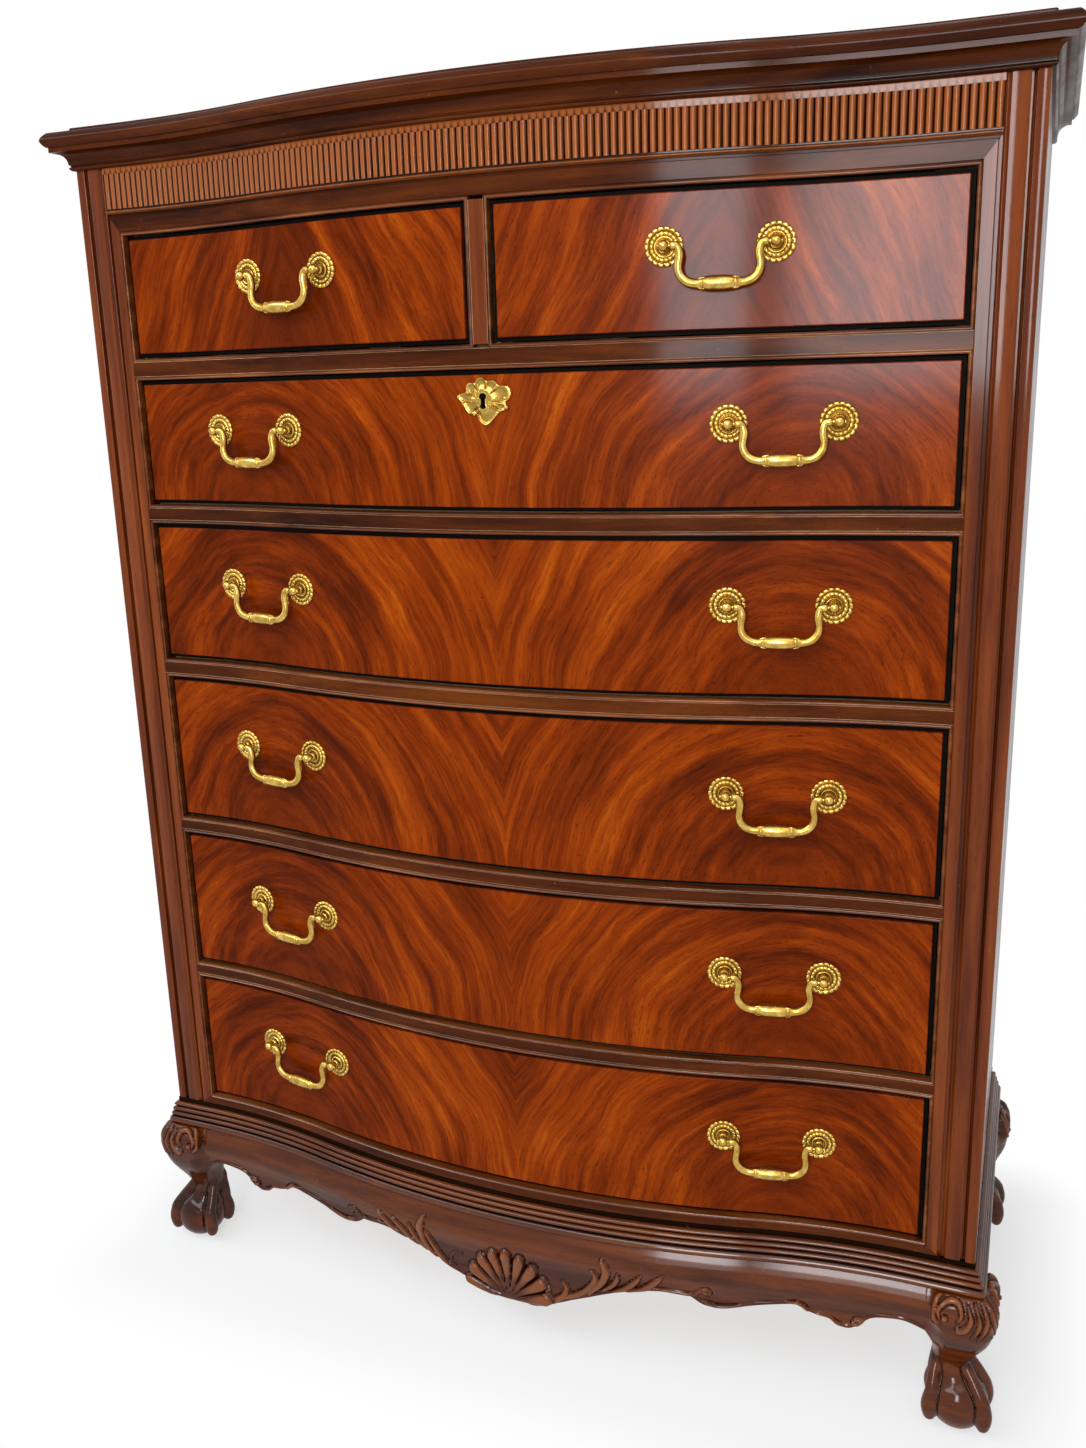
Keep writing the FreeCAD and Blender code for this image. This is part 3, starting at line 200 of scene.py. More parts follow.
class Finish:
    """A material, built by calls that each add one node."""

    def __init__(self, name):
        self.material = bpy.data.materials.new(name)
        self.material.use_nodes = True
        self.tree = self.material.node_tree
        self.tree.nodes.clear()

    def node(self, kind, settings=None, sockets=None, output=0):
        made = self.tree.nodes.new("ShaderNode" + kind)
        for name, value in (settings or {}).items():
            if name == "stops":
                self.set_stops(made.color_ramp, value)
            else:
                setattr(made, name, value)
        for name, value in (sockets or {}).items():
            if isinstance(value, Signal):
                self.tree.links.new(value.socket, made.inputs[name])
            else:
                made.inputs[name].default_value = value
        return Signal(self, made.outputs[output]) if made.outputs else made

    def set_stops(self, ramp, stops):
        while len(ramp.elements) < len(stops):
            ramp.elements.new(0.5)
        for element, (position, colour) in zip(ramp.elements, stops):
            element.position = position
            element.color = (*colour, 1)

    def place(self):
        return self.node("TexCoord", output="Object")

    def split(self, vector):
        made = self.node("SeparateXYZ", sockets={0: vector})
        outputs = made.socket.node.outputs
        return [Signal(self, outputs[axis]) for axis in range(3)]

    def join(self, x, y, z):
        return self.node("CombineXYZ", sockets={0: x, 1: y, 2: z})

    def stretch(self, vector, scale):
        return self.node("Mapping", sockets={"Vector": vector, "Scale": scale})

    def noise(self, vector, scale, detail, roughness=0.5, distortion=0.0):
        return self.node("TexNoise", sockets={"Vector": vector, "Scale": scale, "Detail": detail,
                                              "Roughness": roughness, "Distortion": distortion})

    def range(self, value, low, high, start=0.0, end=1.0):
        return self.node("MapRange", {"interpolation_type": "SMOOTHSTEP"},
                         {0: value, 1: low, 2: high, 3: start, 4: end})

    def ramp(self, value, stops):
        return self.node("ValToRGB", {"stops": stops}, {0: value})

    def mix(self, factor, first, second):
        sockets = {0: factor, 6: first, 7: second}
        for index in (6, 7):
            if isinstance(sockets[index], tuple):
                sockets[index] = (*sockets[index], 1)
        return self.node("Mix", {"data_type": "RGBA"}, sockets, output=2)

    def bump(self, height, distance, strength):
        sockets = {"Height": height, "Distance": distance, "Strength": strength}
        return self.node("Bump", sockets=sockets)

    def surface(self, **sockets):
        named = {name.replace("_", " "): value for name, value in sockets.items()}
        for name, value in named.items():
            if isinstance(value, tuple) and name.endswith("Color"):
                named[name] = (*value, 1)
        shader = self.node("BsdfPrincipled", sockets=named)
        self.node("OutputMaterial", sockets={"Surface": shader})
        return self.material

# %% [markdown]
# ## Lamps and backdrop
# Polished wood shows its lamps as reflections, so a lamp's place matters more than its
# power. A tall window stands ahead and to the right: it leaves the glare on the two upper
# right drawers and the glints on the brass. A long skylight, high in front, lights the
# veneer evenly, and two weak lamps open up the shadows. The world is a mild grey light on
# the chest and plain white where it is seen, in gloss as well as by the camera.

# %% Lamps
def lamp(name, place, target, width, height, power, colour):
    data = bpy.data.lights.new(name, "AREA")
    data.shape = "RECTANGLE"
    data.size, data.size_y, data.energy, data.color = width, height, power, colour
    made = bpy.data.objects.new(name, data)
    made.location = place
    made.rotation_euler = (Vector(target) - Vector(place)).to_track_quat("-Z", "Y").to_euler()
    bpy.context.scene.collection.objects.link(made)


middle = (0, FACE_Y, 0.7)
lamp("window", (0.48, -2.9, 1.62), (0.2, FACE_Y, 1.0), 0.62, 1.2, 44, (0.93, 0.96, 1))
lamp("skylight", (-1.2, -2.1, 2.75), (0, FACE_Y, 0.6), 3.4, 0.7, 50, (0.90, 0.95, 1))
lamp("side window", (-2.8, -0.5, 1.3), middle, 0.7, 1.6, 8, (0.88, 0.94, 1))
lamp("overhead", (1.0, -1.7, 3.2), middle, 1.6, 1.2, 10, (1, 0.99, 0.97))

# %% World
def seen_directly(nodes, links):
    """1 for rays that show the backdrop itself: to the eye, in gloss or through glass."""
    rays = nodes.new("ShaderNodeLightPath")
    total = rays.outputs["Is Camera Ray"]
    for name in ("Is Glossy Ray", "Is Transmission Ray"):
        either = nodes.new("ShaderNodeMath")
        either.operation = "MAXIMUM"
        links.new(total, either.inputs[0])
        links.new(rays.outputs[name], either.inputs[1])
        total = either.outputs[0]
    return total


world = bpy.data.worlds.new("studio")
bpy.context.scene.world = world
world.use_nodes = True
backdrop = world.node_tree.nodes["Background"]
backdrop.inputs["Color"].default_value = (1, 1, 1, 1)
strength = world.node_tree.nodes.new("ShaderNodeMapRange")
strength.inputs["To Min"].default_value = 0.42         # as a light
strength.inputs["To Max"].default_value = 1.0          # as a backdrop
seen = seen_directly(world.node_tree.nodes, world.node_tree.links)
world.node_tree.links.new(seen, strength.inputs["Value"])
world.node_tree.links.new(strength.outputs["Result"], backdrop.inputs["Strength"])

# %% [markdown]
# The floor has to take the chest's shadow and yet vanish into the backdrop. A shadow
# catcher needs compositing, so the floor mixes two shaders instead: matt paint close to the
# chest, and plain white light a hand's breadth away from it.

# %% Floor
def make_floor():
    """A pale floor that turns into the white backdrop away from the chest's shadow."""
    bm = bmesh.new()
    bmesh.ops.create_grid(bm, x_segments=1, y_segments=1, size=12)
    mesh = bpy.data.meshes.new("floor")
    bm.to_mesh(mesh)
    bm.free()
    floor = bpy.data.objects.new("floor", mesh)
    bpy.context.scene.collection.objects.link(floor)
    paint = Finish("pale floor")
    x, y, _ = paint.split(paint.place())
    shadow_reach, nearest_white = 130 * MM, 0.6
    beside = (abs(x) - RIGHT).math("MAXIMUM", 0)
    before = (abs(y - (FRONT + BACK) / 2) - (BACK - FRONT) / 2).math("MAXIMUM", 0)
    away = paint.range((beside ** 2 + before ** 2) ** 0.5, 0, shadow_reach, nearest_white, 1)
    seen = Signal(paint, seen_directly(paint.tree.nodes, paint.tree.links))
    lit = paint.node("BsdfPrincipled", sockets={"Base Color": (0.93, 0.93, 0.93, 1),
                                                "Roughness": 0.9, "Specular IOR Level": 0.0})
    white = paint.node("Emission", sockets={"Color": (1, 1, 1, 1), "Strength": 1.0})
    both = paint.node("MixShader", sockets={0: away * seen, 1: lit, 2: white})
    paint.node("OutputMaterial", sockets={"Surface": both})
    floor.data.materials.append(paint.material)


make_floor()

# %% [markdown]
# ## Finishes
# The case is straight-grained mahogany, stained dark red-brown and polished. The fronts
# are veneered with flame figure, cut from where a trunk forks: its streaks fan up from the
# middle of a front and arch over each pull, with the leaves matched left and right. Wood
# can be made from rings cut through a block, but long stretched noise gives straight grain
# with less to go wrong, and the flame is the same noise laid along arcs.

# %% Grain and polish
GRAIN = {"x": (0.05, 1, 1), "y": (1, 0.05, 1), "z": (1, 1, 0.05)}


def varnish(wood, colour, gloss, coat):
    """Coat of polish over the colour, with the slight ripple that polish dries to."""
    place = wood.place()
    ripple = wood.noise(place, 150, detail=2)
    fine = wood.noise(place, 750, detail=1)
    normal = wood.bump(ripple + fine * 0.3, 0.0003, 0.3)
    wear = wood.noise(place, 14, detail=3)
    rough = wood.range(wear, 0.3, 0.75, gloss + 0.1, gloss + 0.3)
    return wood.surface(Base_Color=colour, Roughness=rough, Normal=normal, Specular_IOR_Level=0.01,
                        Coat_Weight=coat, Coat_Roughness=gloss, Coat_IOR=1.5)

# %% Straight-grained mahogany
# The crest colours stand for rubbed polish and a painted highlight; the hollow and cut colours are
# painted shade.
RUBBED_AND_HIGHLIT, RIDGE_RUBBED_AND_HIGHLIT = (0.26, 0.070, 0.012), (0.30, 0.090, 0.022)
PAINTED_HOLLOW_SHADE, PAINTED_CUT_SHADE = (0.005, 0.0012, 0.0004), (0.004, 0.0010, 0.0004)


def wear_and_painted_light_by_shape(wood, colour):
    """Lighten crests with rubbed polish and a painted highlight; paint shade into hollows and cuts.

    Pointiness finds the mesh's own edges; "carving" says where a carver cut or left wood."""
    shape = wood.node("NewGeometry", output=7)
    colour = wood.mix(wood.range(shape, 0.54, 0.64) * 0.5, colour, RUBBED_AND_HIGHLIT)
    colour = wood.mix(wood.range(shape, 0.36, 0.44, 1, 0) * 0.85, colour, PAINTED_HOLLOW_SHADE)
    carving = wood.node("Attribute", {"attribute_name": "carving"}, output=2)
    colour = wood.mix(wood.range(carving, 0.55, 1.0) * 0.5, colour, RIDGE_RUBBED_AND_HIGHLIT)
    return wood.mix(wood.range(carving, -0.7, -0.05, 1, 0) * 0.93, colour, PAINTED_CUT_SHADE)


def mahogany(name, axis, dark, middle, light, coat, gloss=0.12, carved=False):
    """Dark polished mahogany, its grain along one axis."""
    wood = Finish(name)
    place = wood.place()
    along = wood.stretch(place, GRAIN[axis])
    figure = wood.noise(along, 55, detail=6, roughness=0.62, distortion=0.25)
    broad = wood.noise(along, 9, detail=2)
    tone = figure * 0.6 + broad * 0.4
    colour = wood.ramp(tone, [(0.36, dark), (0.5, middle), (0.66, light)])
    pores = wood.noise(along, 900, detail=2, roughness=0.7)
    dark_pores = wood.range(pores, 0.58, 0.7) * 0.55
    colour = wood.mix(dark_pores, colour, dark)
    scuffs = wood.noise(place, 160, detail=3, roughness=0.7)
    colour = wood.mix(wood.range(scuffs, 0.68, 0.76) * 0.5, colour, (0.30, 0.085, 0.018))
    if carved:
        colour = wear_and_painted_light_by_shape(wood, colour)
    return varnish(wood, colour, gloss, coat)


upright_wood = mahogany("mahogany_upright", "z", (0.024, 0.0040, 0.0006),
                        (0.115, 0.020, 0.0022), (0.230, 0.050, 0.0060), coat=0.35)
level_wood = mahogany("mahogany_level", "x", (0.016, 0.0028, 0.0004),
                      (0.060, 0.0112, 0.0011), (0.120, 0.0260, 0.0022), coat=0.15)
bead_wood = mahogany("mahogany_bead", "x", (0.04, 0.008, 0.0015),
                     (0.12, 0.028, 0.005), (0.26, 0.080, 0.020), gloss=0.08, coat=0.6)
moulding_wood = mahogany("mahogany_moulding", "x", (0.022, 0.0040, 0.0006),
                         (0.075, 0.014, 0.0015), (0.150, 0.033, 0.003), gloss=0.09,
                         coat=0.7, carved=True)
carved_wood = mahogany("mahogany_carved", "x", (0.016, 0.0030, 0.0006),
                       (0.070, 0.0135, 0.0018), (0.150, 0.032, 0.0040), coat=0.5, carved=True)
# Near black: painted shade, for the fillet that stands for the shadow line under the case.
painted_shade_wood = mahogany("mahogany_painted_shade", "x", (0.002, 0.0008, 0.0004),
                       (0.006, 0.002, 0.0008), (0.012, 0.004, 0.001), gloss=0.3, coat=0.03)
# Five are stains of one mahogany; the near-black sixth is painted shade.
print("six stains of one mahogany")

# %% [markdown]
# The flame veneer needs two sets of lines. On the long fronts they are arcs about a point
# below each pull, on the small ones they are straight and meet in a chevron over the pull.
# Both are measured from a seam, so that the leaves mirror each other. Three noises lie
# along the lines, from broad bands to threads, and `tone` adds them up for one colour ramp.
# Round the very middle of an arch the noise would draw rings, so it is calmed there.

# %% Flame veneer
FLAME = [(0.32, (0.030, 0.0042, 0.0002)), (0.43, (0.085, 0.0100, 0.0003)),
         (0.51, (0.155, 0.0190, 0.0005)), (0.59, (0.245, 0.0350, 0.0010)),
         (0.71, (0.400, 0.0800, 0.0030))]
ARCH_X = 290 * MM                  # middle of an arch, out from the seam
SEAM_X = 5 * MM
ARCH_POWER = 1.85                  # between a chevron (1) and a circle (2)
CHEVRON_SLOPE = 0.48
SWAY, WANDER = 50 * MM, 3.5 * MM   # how far the lines stray, slowly and quickly
OTHER_LEAF = 37                    # shift of the noise that gives each row its own wood


def flame_veneer(drawer):
    """Book-matched flame figure for one drawer's face."""
    left, right, low, _ = opening(drawer)
    wood = Finish("flame_veneer_" + drawer)
    place = wood.place()
    x, _, z = wood.split(place)
    small = right - left < HALF_OPENING
    sway = (wood.noise(place, 7, detail=1) - 0.5) * SWAY
    wander = (wood.noise(place, 60, detail=1) - 0.5) * WANDER
    if small:
        from_arch = abs(x - (left + right) / 2 + sway)
        rise = z - low
        across = from_arch + rise * CHEVRON_SLOPE
        along = rise - from_arch * CHEVRON_SLOPE
        glow = wood.range(from_arch, 0.015, 0.11, -0.045, 0.02)
    else:
        from_arch = abs(abs(x - SEAM_X) - ARCH_X + sway)
        rise = z - (low - 8 * MM)
        across = (from_arch ** ARCH_POWER + rise ** ARCH_POWER) ** (1 / ARCH_POWER)
        along = rise.math("ARCTAN2", from_arch) * 0.16
        glow = wood.range(from_arch, 0.02, 0.20, -0.022, 0.034)
    across = across + wander
    lines = wood.join(across, along * 0.075, x * 0.07 + low * OTHER_LEAF)
    broad = wood.noise(wood.join(across, along * 0.16, low * OTHER_LEAF), 26, detail=2)
    streaks = wood.noise(lines, 95, detail=4, roughness=0.62)
    threads = wood.noise(lines, 430, detail=3, roughness=0.6)
    patch = wood.noise(place, 18, detail=2)
    tone = broad * 0.34 + streaks * 0.44 + threads * 0.14 + patch * 0.08
    calm = wood.range(across, 0.02, 0.12, 0.4, 1)
    # The last term lightens each front towards the right: painted light where the lamps leave that side
    # dim.
    tone = (tone - 0.5) * calm + 0.5 + glow + wood.range(x, -0.45, 0.45, -0.010, 0.016)
    colour = wood.ramp(tone, FLAME)
    pores = wood.noise(wood.join(across, along * 0.12, low * 53), 900, detail=2, roughness=0.7)
    colour = wood.mix(wood.range(pores, 0.56, 0.70) * 0.55, colour, (0.022, 0.0035, 0.0006))
    specks = wood.noise(wood.stretch(place, (1, 1, 0.4)), 700, detail=1)
    colour = wood.mix(wood.range(specks, 0.70, 0.76) * 0.6, colour, (0.012, 0.002, 0.0005))
    fresh = wood.range(x, -0.15, 0.4) * wood.range(z, 0.75, 1.15)
    return varnish(wood, colour, gloss=0.14, coat=fresh * 0.19 + 0.07)

# %% [markdown]
# Under and inside, the maker saved mahogany. Runners, drawer sides and the back are a plain
# pale wood left bare, the edges of the fronts are stained black, and the lock is iron.

# %% Plain woods, stain and metals
def bare_wood(name, axis):
    wood = Finish(name)
    place = wood.place()
    along = wood.stretch(place, GRAIN[axis])
    figure = wood.noise(along, 45, detail=5, roughness=0.6, distortion=0.4)
    colour = wood.ramp(figure, [(0.3, (0.30, 0.16, 0.065)), (0.5, (0.44, 0.26, 0.12)),
                                (0.7, (0.56, 0.36, 0.18))])
    pores = wood.noise(along, 700, detail=2)
    colour = wood.mix(wood.range(pores, 0.6, 0.7) * 0.4, colour, (0.16, 0.08, 0.03))
    normal = wood.bump(figure + pores * 0.5, 0.0004, 0.3)
    return wood.surface(Base_Color=colour, Roughness=0.62, Normal=normal)


def front_stain():
    """Black-stained edges and a bare back, told apart by which way the wood faces."""
    wood = Finish("drawer_edge_stain")
    facing = wood.node("TexCoord", output="Normal")
    backward = wood.split(facing)[1]
    along = wood.stretch(wood.place(), GRAIN["x"])
    figure = wood.noise(along, 45, detail=5, roughness=0.6)
    bare = wood.ramp(figure, [(0.3, (0.13, 0.055, 0.02)), (0.7, (0.28, 0.13, 0.05))])
    black = wood.ramp(figure, [(0.3, (0.0015, 0.0012, 0.001)), (0.7, (0.005, 0.003, 0.002))])
    is_back = wood.range(backward, 0.6, 0.8)
    colour = wood.mix(is_back, black, bare)
    return wood.surface(Base_Color=colour, Roughness=0.6, Specular_IOR_Level=0.05,
                        Normal=wood.bump(figure, 0.0003, 0.3))


def cast_brass():
    """Old brass: warm on the high places, tarnish and painted shade in the hollows, lightly pitted."""
    metal = Finish("cast_brass")
    place = metal.place()
    tarnish = metal.noise(place, 130, detail=4, roughness=0.6)
    colour = metal.ramp(tarnish, [(0.3, (0.36, 0.205, 0.036)), (0.5, (0.60, 0.375, 0.080)),
                                  (0.7, (0.82, 0.57, 0.165))])
    shape = metal.node("NewGeometry", output=7)
    # Tarnish and painted shade in the hollows, near black in the deepest ones.
    colour = metal.mix(metal.range(shape, 0.45, 0.56), (0.26, 0.15, 0.028), colour)
    colour = metal.mix(metal.range(shape, 0.34, 0.44), (0.030, 0.014, 0.003), colour)
    rough = metal.range(tarnish, 0.3, 0.7, 0.34, 0.20)
    pits = metal.noise(place, 900, detail=2)
    normal = metal.bump(tarnish + pits * 0.3, 0.0003, 0.3)
    return metal.surface(Base_Color=colour, Metallic=1.0, Roughness=rough, Normal=normal)


def lock_iron():
    metal = Finish("lock_iron")
    rust = metal.noise(metal.place(), 200, detail=4)
    colour = metal.ramp(rust, [(0.4, (0.10, 0.095, 0.09)), (0.7, (0.16, 0.10, 0.06))])
    return metal.surface(Base_Color=colour, Metallic=0.8, Roughness=0.5)


bare_side, bare_level = bare_wood("bare_wood_side", "y"), bare_wood("bare_wood_level", "x")
edge_stain, brass, iron = front_stain(), cast_brass(), lock_iron()

# %% [markdown]
# ## Sweeping a section
# Most of a chest is mouldings: one section carried along a line. Blender can sweep a curve,
# but a mitre, a bow and a reed all need the section to change on the way. So a ring of
# vertices is extruded, and each new ring is put where a `station` says. A ring remembers
# its own two section coordinates, and a station turns them into a place on the chest.

# %% Sweep
def sweep(bm, section, stations):
    """Extrude a closed section through the stations; each maps (out, up) to a point."""
    out_layer = bm.verts.layers.float.get("out") or bm.verts.layers.float.new("out")
    up_layer = bm.verts.layers.float.get("up") or bm.verts.layers.float.new("up")
    ring = []
    for out, up in section:
        vert = bm.verts.new(stations[0](out, up))
        vert[out_layer], vert[up_layer] = out, up
        ring.append(vert)
    edges = [bm.edges.new(pair) for pair in zip(ring, ring[1:] + ring[:1])]
    first = list(edges)
    for station in stations[1:]:
        grown = bmesh.ops.extrude_edge_only(bm, edges=edges)["geom"]
        for vert in grown:
            if isinstance(vert, bmesh.types.BMVert):
                vert.co = station(vert[out_layer], vert[up_layer])
        edges = [part for part in grown if isinstance(part, bmesh.types.BMEdge)]
    for end in (first, edges):
        bmesh.ops.holes_fill(bm, edges=end, sides=0)


def steps(start, end, count):
    return [start + (end - start) * i / count for i in range(count + 1)]

# %% [markdown]
# Every piece ends the same way. Its faces are turned outwards, it is shaded smooth except
# over edges sharper than its limit, it takes its finish and rides on the body that carries
# it, and the frame's pieces that it stands in for are hidden.

# %% Finish a piece
def make_piece(bm, name, body, material, replaces=(), smooth=40, ease=0):
    """Turn a finished bmesh into a piece that rides on its body."""
    bmesh.ops.recalc_face_normals(bm, faces=bm.faces)
    limit = math.radians(smooth)
    for face in bm.faces:
        face.smooth = True
    for edge in bm.edges:
        if len(edge.link_faces) == 2:
            edge.smooth = edge.calc_face_angle(0) < limit
    mesh = bpy.data.meshes.new(name)
    bm.to_mesh(mesh)
    bm.free()
    piece = bpy.data.objects.new(name, mesh)
    bpy.context.scene.collection.objects.link(piece)
    mesh.materials.append(material)
    if ease:
        bevel = piece.modifiers.new("eased edges", "BEVEL")
        bevel.width, bevel.segments, bevel.angle_limit = ease, 2, math.radians(35)
    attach(piece, body)
    if replaces:
        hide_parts(*replaces)
    print("%-24s %6d faces" % (name, len(mesh.polygons)))
    return piece

# %% [markdown]
# Two more helpers serve the mouldings: `bulge` swells one member of a section to a round or
# a cove, and the stations either run along the bow or go round the whole case.

# %% Rounds, and runs along the front
def bulge(p, q, height, count=8):
    """Points of a round swelling from p to q, without p, standing out by height."""
    p, q = Vector(p), Vector(q)
    run = q - p
    side = Vector((run.y, -run.x)).normalized()
    found = []
    for i in range(1, count + 1):
        share = i / count
        point = p + run * share + side * (height * math.sin(math.pi * share))
        found.append((point.x, point.y))
    return found


BOW_STEPS = 96


def along_front(x):
    """Station on the bow at x: (out, up) to a point."""
    return lambda out, up: Vector((x, front_y(x, out), up))


def bowed_strip(bm, section, x0, x1):
    count = max(2, round(BOW_STEPS * (x1 - x0) / (2 * HALF_OPENING)))
    sweep(bm, section, [along_front(x) for x in steps(x0, x1, count)])


def around_case():
    """Stations from the back, round the mitred corners and along the bow."""
    def back(side):
        return lambda out, up: Vector((side * (HALF_CASE + out), BACK, up))

    def corner(side):
        return lambda out, up: Vector((side * (HALF_CASE + out), FACE_Y - out, up))

    bow = [along_front(x) for x in steps(-HALF_OPENING, HALF_OPENING, BOW_STEPS)]
    return [back(-1), corner(-1)] + bow + [corner(1), back(1)]

# %% [markdown]
# ## Case, from the top down
# The top is a bullnosed slab over a fillet and a cove, with a thin board set back on it.
# The slab, fillet and cove are one moulding run along the bow and mitred at the corners.

# %% Cornice
def cornice_section():
    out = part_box("cornice_moulding")[1].x - HALF_CASE
    top = CASE_TOP_Z
    slab, fillet, bead = 14.5 * MM, 5 * MM, 4.5 * MM
    low = CORNICE_Z
    section = [(-8 * MM, low), (2.4 * MM, low)]
    section += bulge((2.4 * MM, low), (2.4 * MM, low + bead), 2.3 * MM)
    section += [(3.4 * MM, low + bead), (3.4 * MM, low + bead + 1.2 * MM)]
    foot = (4.6 * MM, low + bead + 1.2 * MM)
    head = (out - 10.5 * MM, top - slab - fillet)
    section += [foot] + bulge(foot, head, -2.6 * MM, 10)
    section += [(out - 6 * MM, top - slab - fillet), (out - 6 * MM, top - slab)]
    nose = (out - 4.2 * MM, top - slab)
    section += [nose] + bulge(nose, (out - 4.2 * MM, top - 1.5 * MM), 4.1 * MM, 10)
    section += [(out - 6 * MM, top), (-8 * MM, top)]
    return section


def make_cornice():
    bm = bmesh.new()
    sweep(bm, cornice_section(), around_case())
    make_piece(bm, "cornice", "case", level_wood, ["cornice_moulding"])


make_cornice()

# %% Top board
def make_top_board():
    """A board swept across the case, its front edge on the bow and its back edge straight."""
    low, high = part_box("top_board")
    past, reach = high.x - HALF_CASE, high.x

    def across(x):
        return lambda out, up: Vector((x, BACK if out < 0 else front_y(x, past), up))

    section = [(-1, low.z), (1, low.z), (1, high.z), (-1, high.z)]
    places = [-reach] + steps(-HALF_OPENING, HALF_OPENING, BOW_STEPS) + [reach]
    bm = bmesh.new()
    sweep(bm, section, [across(x) for x in places])
    make_piece(bm, "top_lid", "case", level_wood, ["top_board"], ease=1.6 * MM)


make_top_board()

# %% [markdown]
# The frieze below the cornice is cut with close upright reeds between a plain strip and a
# bead. Modelling the reeds one by one would mean over a hundred pieces; instead the section
# is swept along the bow in short steps, and the part of it between the reeds' two ends moves
# in and out as it goes.

# %% Reeded mahogany
REED_CREST_RUBBED_AND_HIGHLIT, REED_HOLLOW_PAINTED_SHADE = (0.30, 0.074, 0.010), (0.005, 0.0012, 0.0004)


def reeded_mahogany():
    """Mahogany whose reeds are worn orange on their crests and dark between."""
    # Mahogany: rubbed polish and a painted highlight on the reeds' crests, painted shade between.
    wood = Finish("mahogany_reeded")
    place = wood.place()
    along = wood.stretch(place, GRAIN["z"])
    figure = wood.noise(along, 60, detail=5, roughness=0.6)
    colour = wood.ramp(figure, [(0.35, (0.034, 0.0064, 0.0009)), (0.65, (0.125, 0.029, 0.0036))])
    shape = wood.node("NewGeometry", output=7)
    # Crests: rubbed polish and a painted highlight; hollows between the reeds: painted shade.
    crest = wood.range(shape, 0.515, 0.565)
    colour = wood.mix(crest * 0.85, colour, REED_CREST_RUBBED_AND_HIGHLIT)
    hollow = wood.range(shape, 0.455, 0.55, 1, 0)
    colour = wood.mix(hollow * 0.97, colour, REED_HOLLOW_PAINTED_SHADE)
    return varnish(wood, colour, gloss=0.10, coat=0.35)


reed_wood = reeded_mahogany()

# %% Frieze
REED_PITCH = 6.9 * MM
REED_DEPTH = 3.4 * MM
REED_HEIGHT = 35 * MM
FRIEZE_BEAD = 3.6 * MM
REEDED = 1.0                       # marks the section points that a reed moves in and out


def reed_station(x, face):
    return lambda out, up: Vector((x, front_y(x, face if out == REEDED else out), up))


def make_frieze():
    low = TOP_RAIL_Z
    reed_low = low + FRIEZE_BEAD + 1.4 * MM
    reed_high = reed_low + REED_HEIGHT
    section = [(-FRAME_THICKNESS, low), (0, low)]
    section += bulge((0, low), (0, low + FRIEZE_BEAD), 1.6 * MM, 6)
    section += [(-1.5 * MM, low + FRIEZE_BEAD), (-1.5 * MM, reed_low)]
    section += [(REEDED, reed_low), (REEDED, reed_high), (-0.2 * MM, reed_high),
                (-0.2 * MM, CORNICE_Z + 2 * MM), (-FRAME_THICKNESS, CORNICE_Z + 2 * MM)]
    phases = [-1, -0.93, -0.7, -0.36, 0, 0.36, 0.7, 0.93]
    reeds = round(2 * STILE_EDGE / REED_PITCH)
    pitch = 2 * STILE_EDGE / reeds
    stations = []
    for i in range(reeds):
        for phase in phases:
            x = -STILE_EDGE + (i + 0.5 + phase / 2) * pitch
            face = -REED_DEPTH * (1 - math.sqrt(1 - phase * phase) ** 0.8)
            stations.append(reed_station(x, face))
    stations.append(reed_station(STILE_EDGE, -REED_DEPTH))
    bm = bmesh.new()
    sweep(bm, section, stations)
    make_piece(bm, "reeded_frieze", "case", reed_wood, ["frieze"], smooth=50)
    print("%d reeds, %.2f mm apart" % (reeds, pitch / MM))


make_frieze()

# %% [markdown]
# Each pilaster is one upright board worked with planes: a bead, a flat, a groove and an
# outer flat. The stile beside it has a rebate that reads as a dark line.

# %% Pilasters
def upright(side, foot, head):
    """Two stations of an upright whose section is (out, across from the chest's middle).

    foot and head give the level of each end at a distance across, so an end can be mitred."""
    def at(level):
        return lambda out, across: Vector((side * across, FACE_Y - out, level(across)))
    return [at(foot), at(head)]


def make_pilasters():
    bead = STILE_EDGE + 4 * MM
    flat = bead + 15.5 * MM
    groove = flat + 5 * MM
    back = -FRAME_THICKNESS
    section = [(back, STILE_EDGE), (-1.0 * MM, STILE_EDGE)]
    section += bulge((-1.0 * MM, STILE_EDGE), (-1.0 * MM, bead), -2.0 * MM, 8)
    section += [(-1.2 * MM, bead + 0.2 * MM), (-0.9 * MM, bead + 0.6 * MM), (0, bead + 1.0 * MM),
                (0, flat - 0.8 * MM), (-0.5 * MM, flat), (-4 * MM, flat), (-4 * MM, flat + 1.6 * MM)]
    section += bulge((-4 * MM, flat + 1.6 * MM), (-4 * MM, groove - 0.2 * MM), -3.6 * MM, 8)
    section += [(-4 * MM, groove), (-0.5 * MM, groove), (0, groove + 0.7 * MM),
                (0, HALF_CASE - 1.6 * MM), (-0.5 * MM, HALF_CASE - 0.45 * MM),
                (-1.6 * MM, HALF_CASE), (back, HALF_CASE)]
    bm = bmesh.new()
    for side in (-1, 1):
        sweep(bm, section, upright(side, lambda across: CASE_FACE_Z, lambda across: CASE_TOP_Z))
    make_piece(bm, "pilaster_pair", "case", upright_wood, ["pilasters"])


make_pilasters()

# %% [markdown]
# The face frame is mitred like a picture frame: the stiles' ends and the rails' ends are
# cut to the same slope. The rails follow the bow, so only their ends are straight.

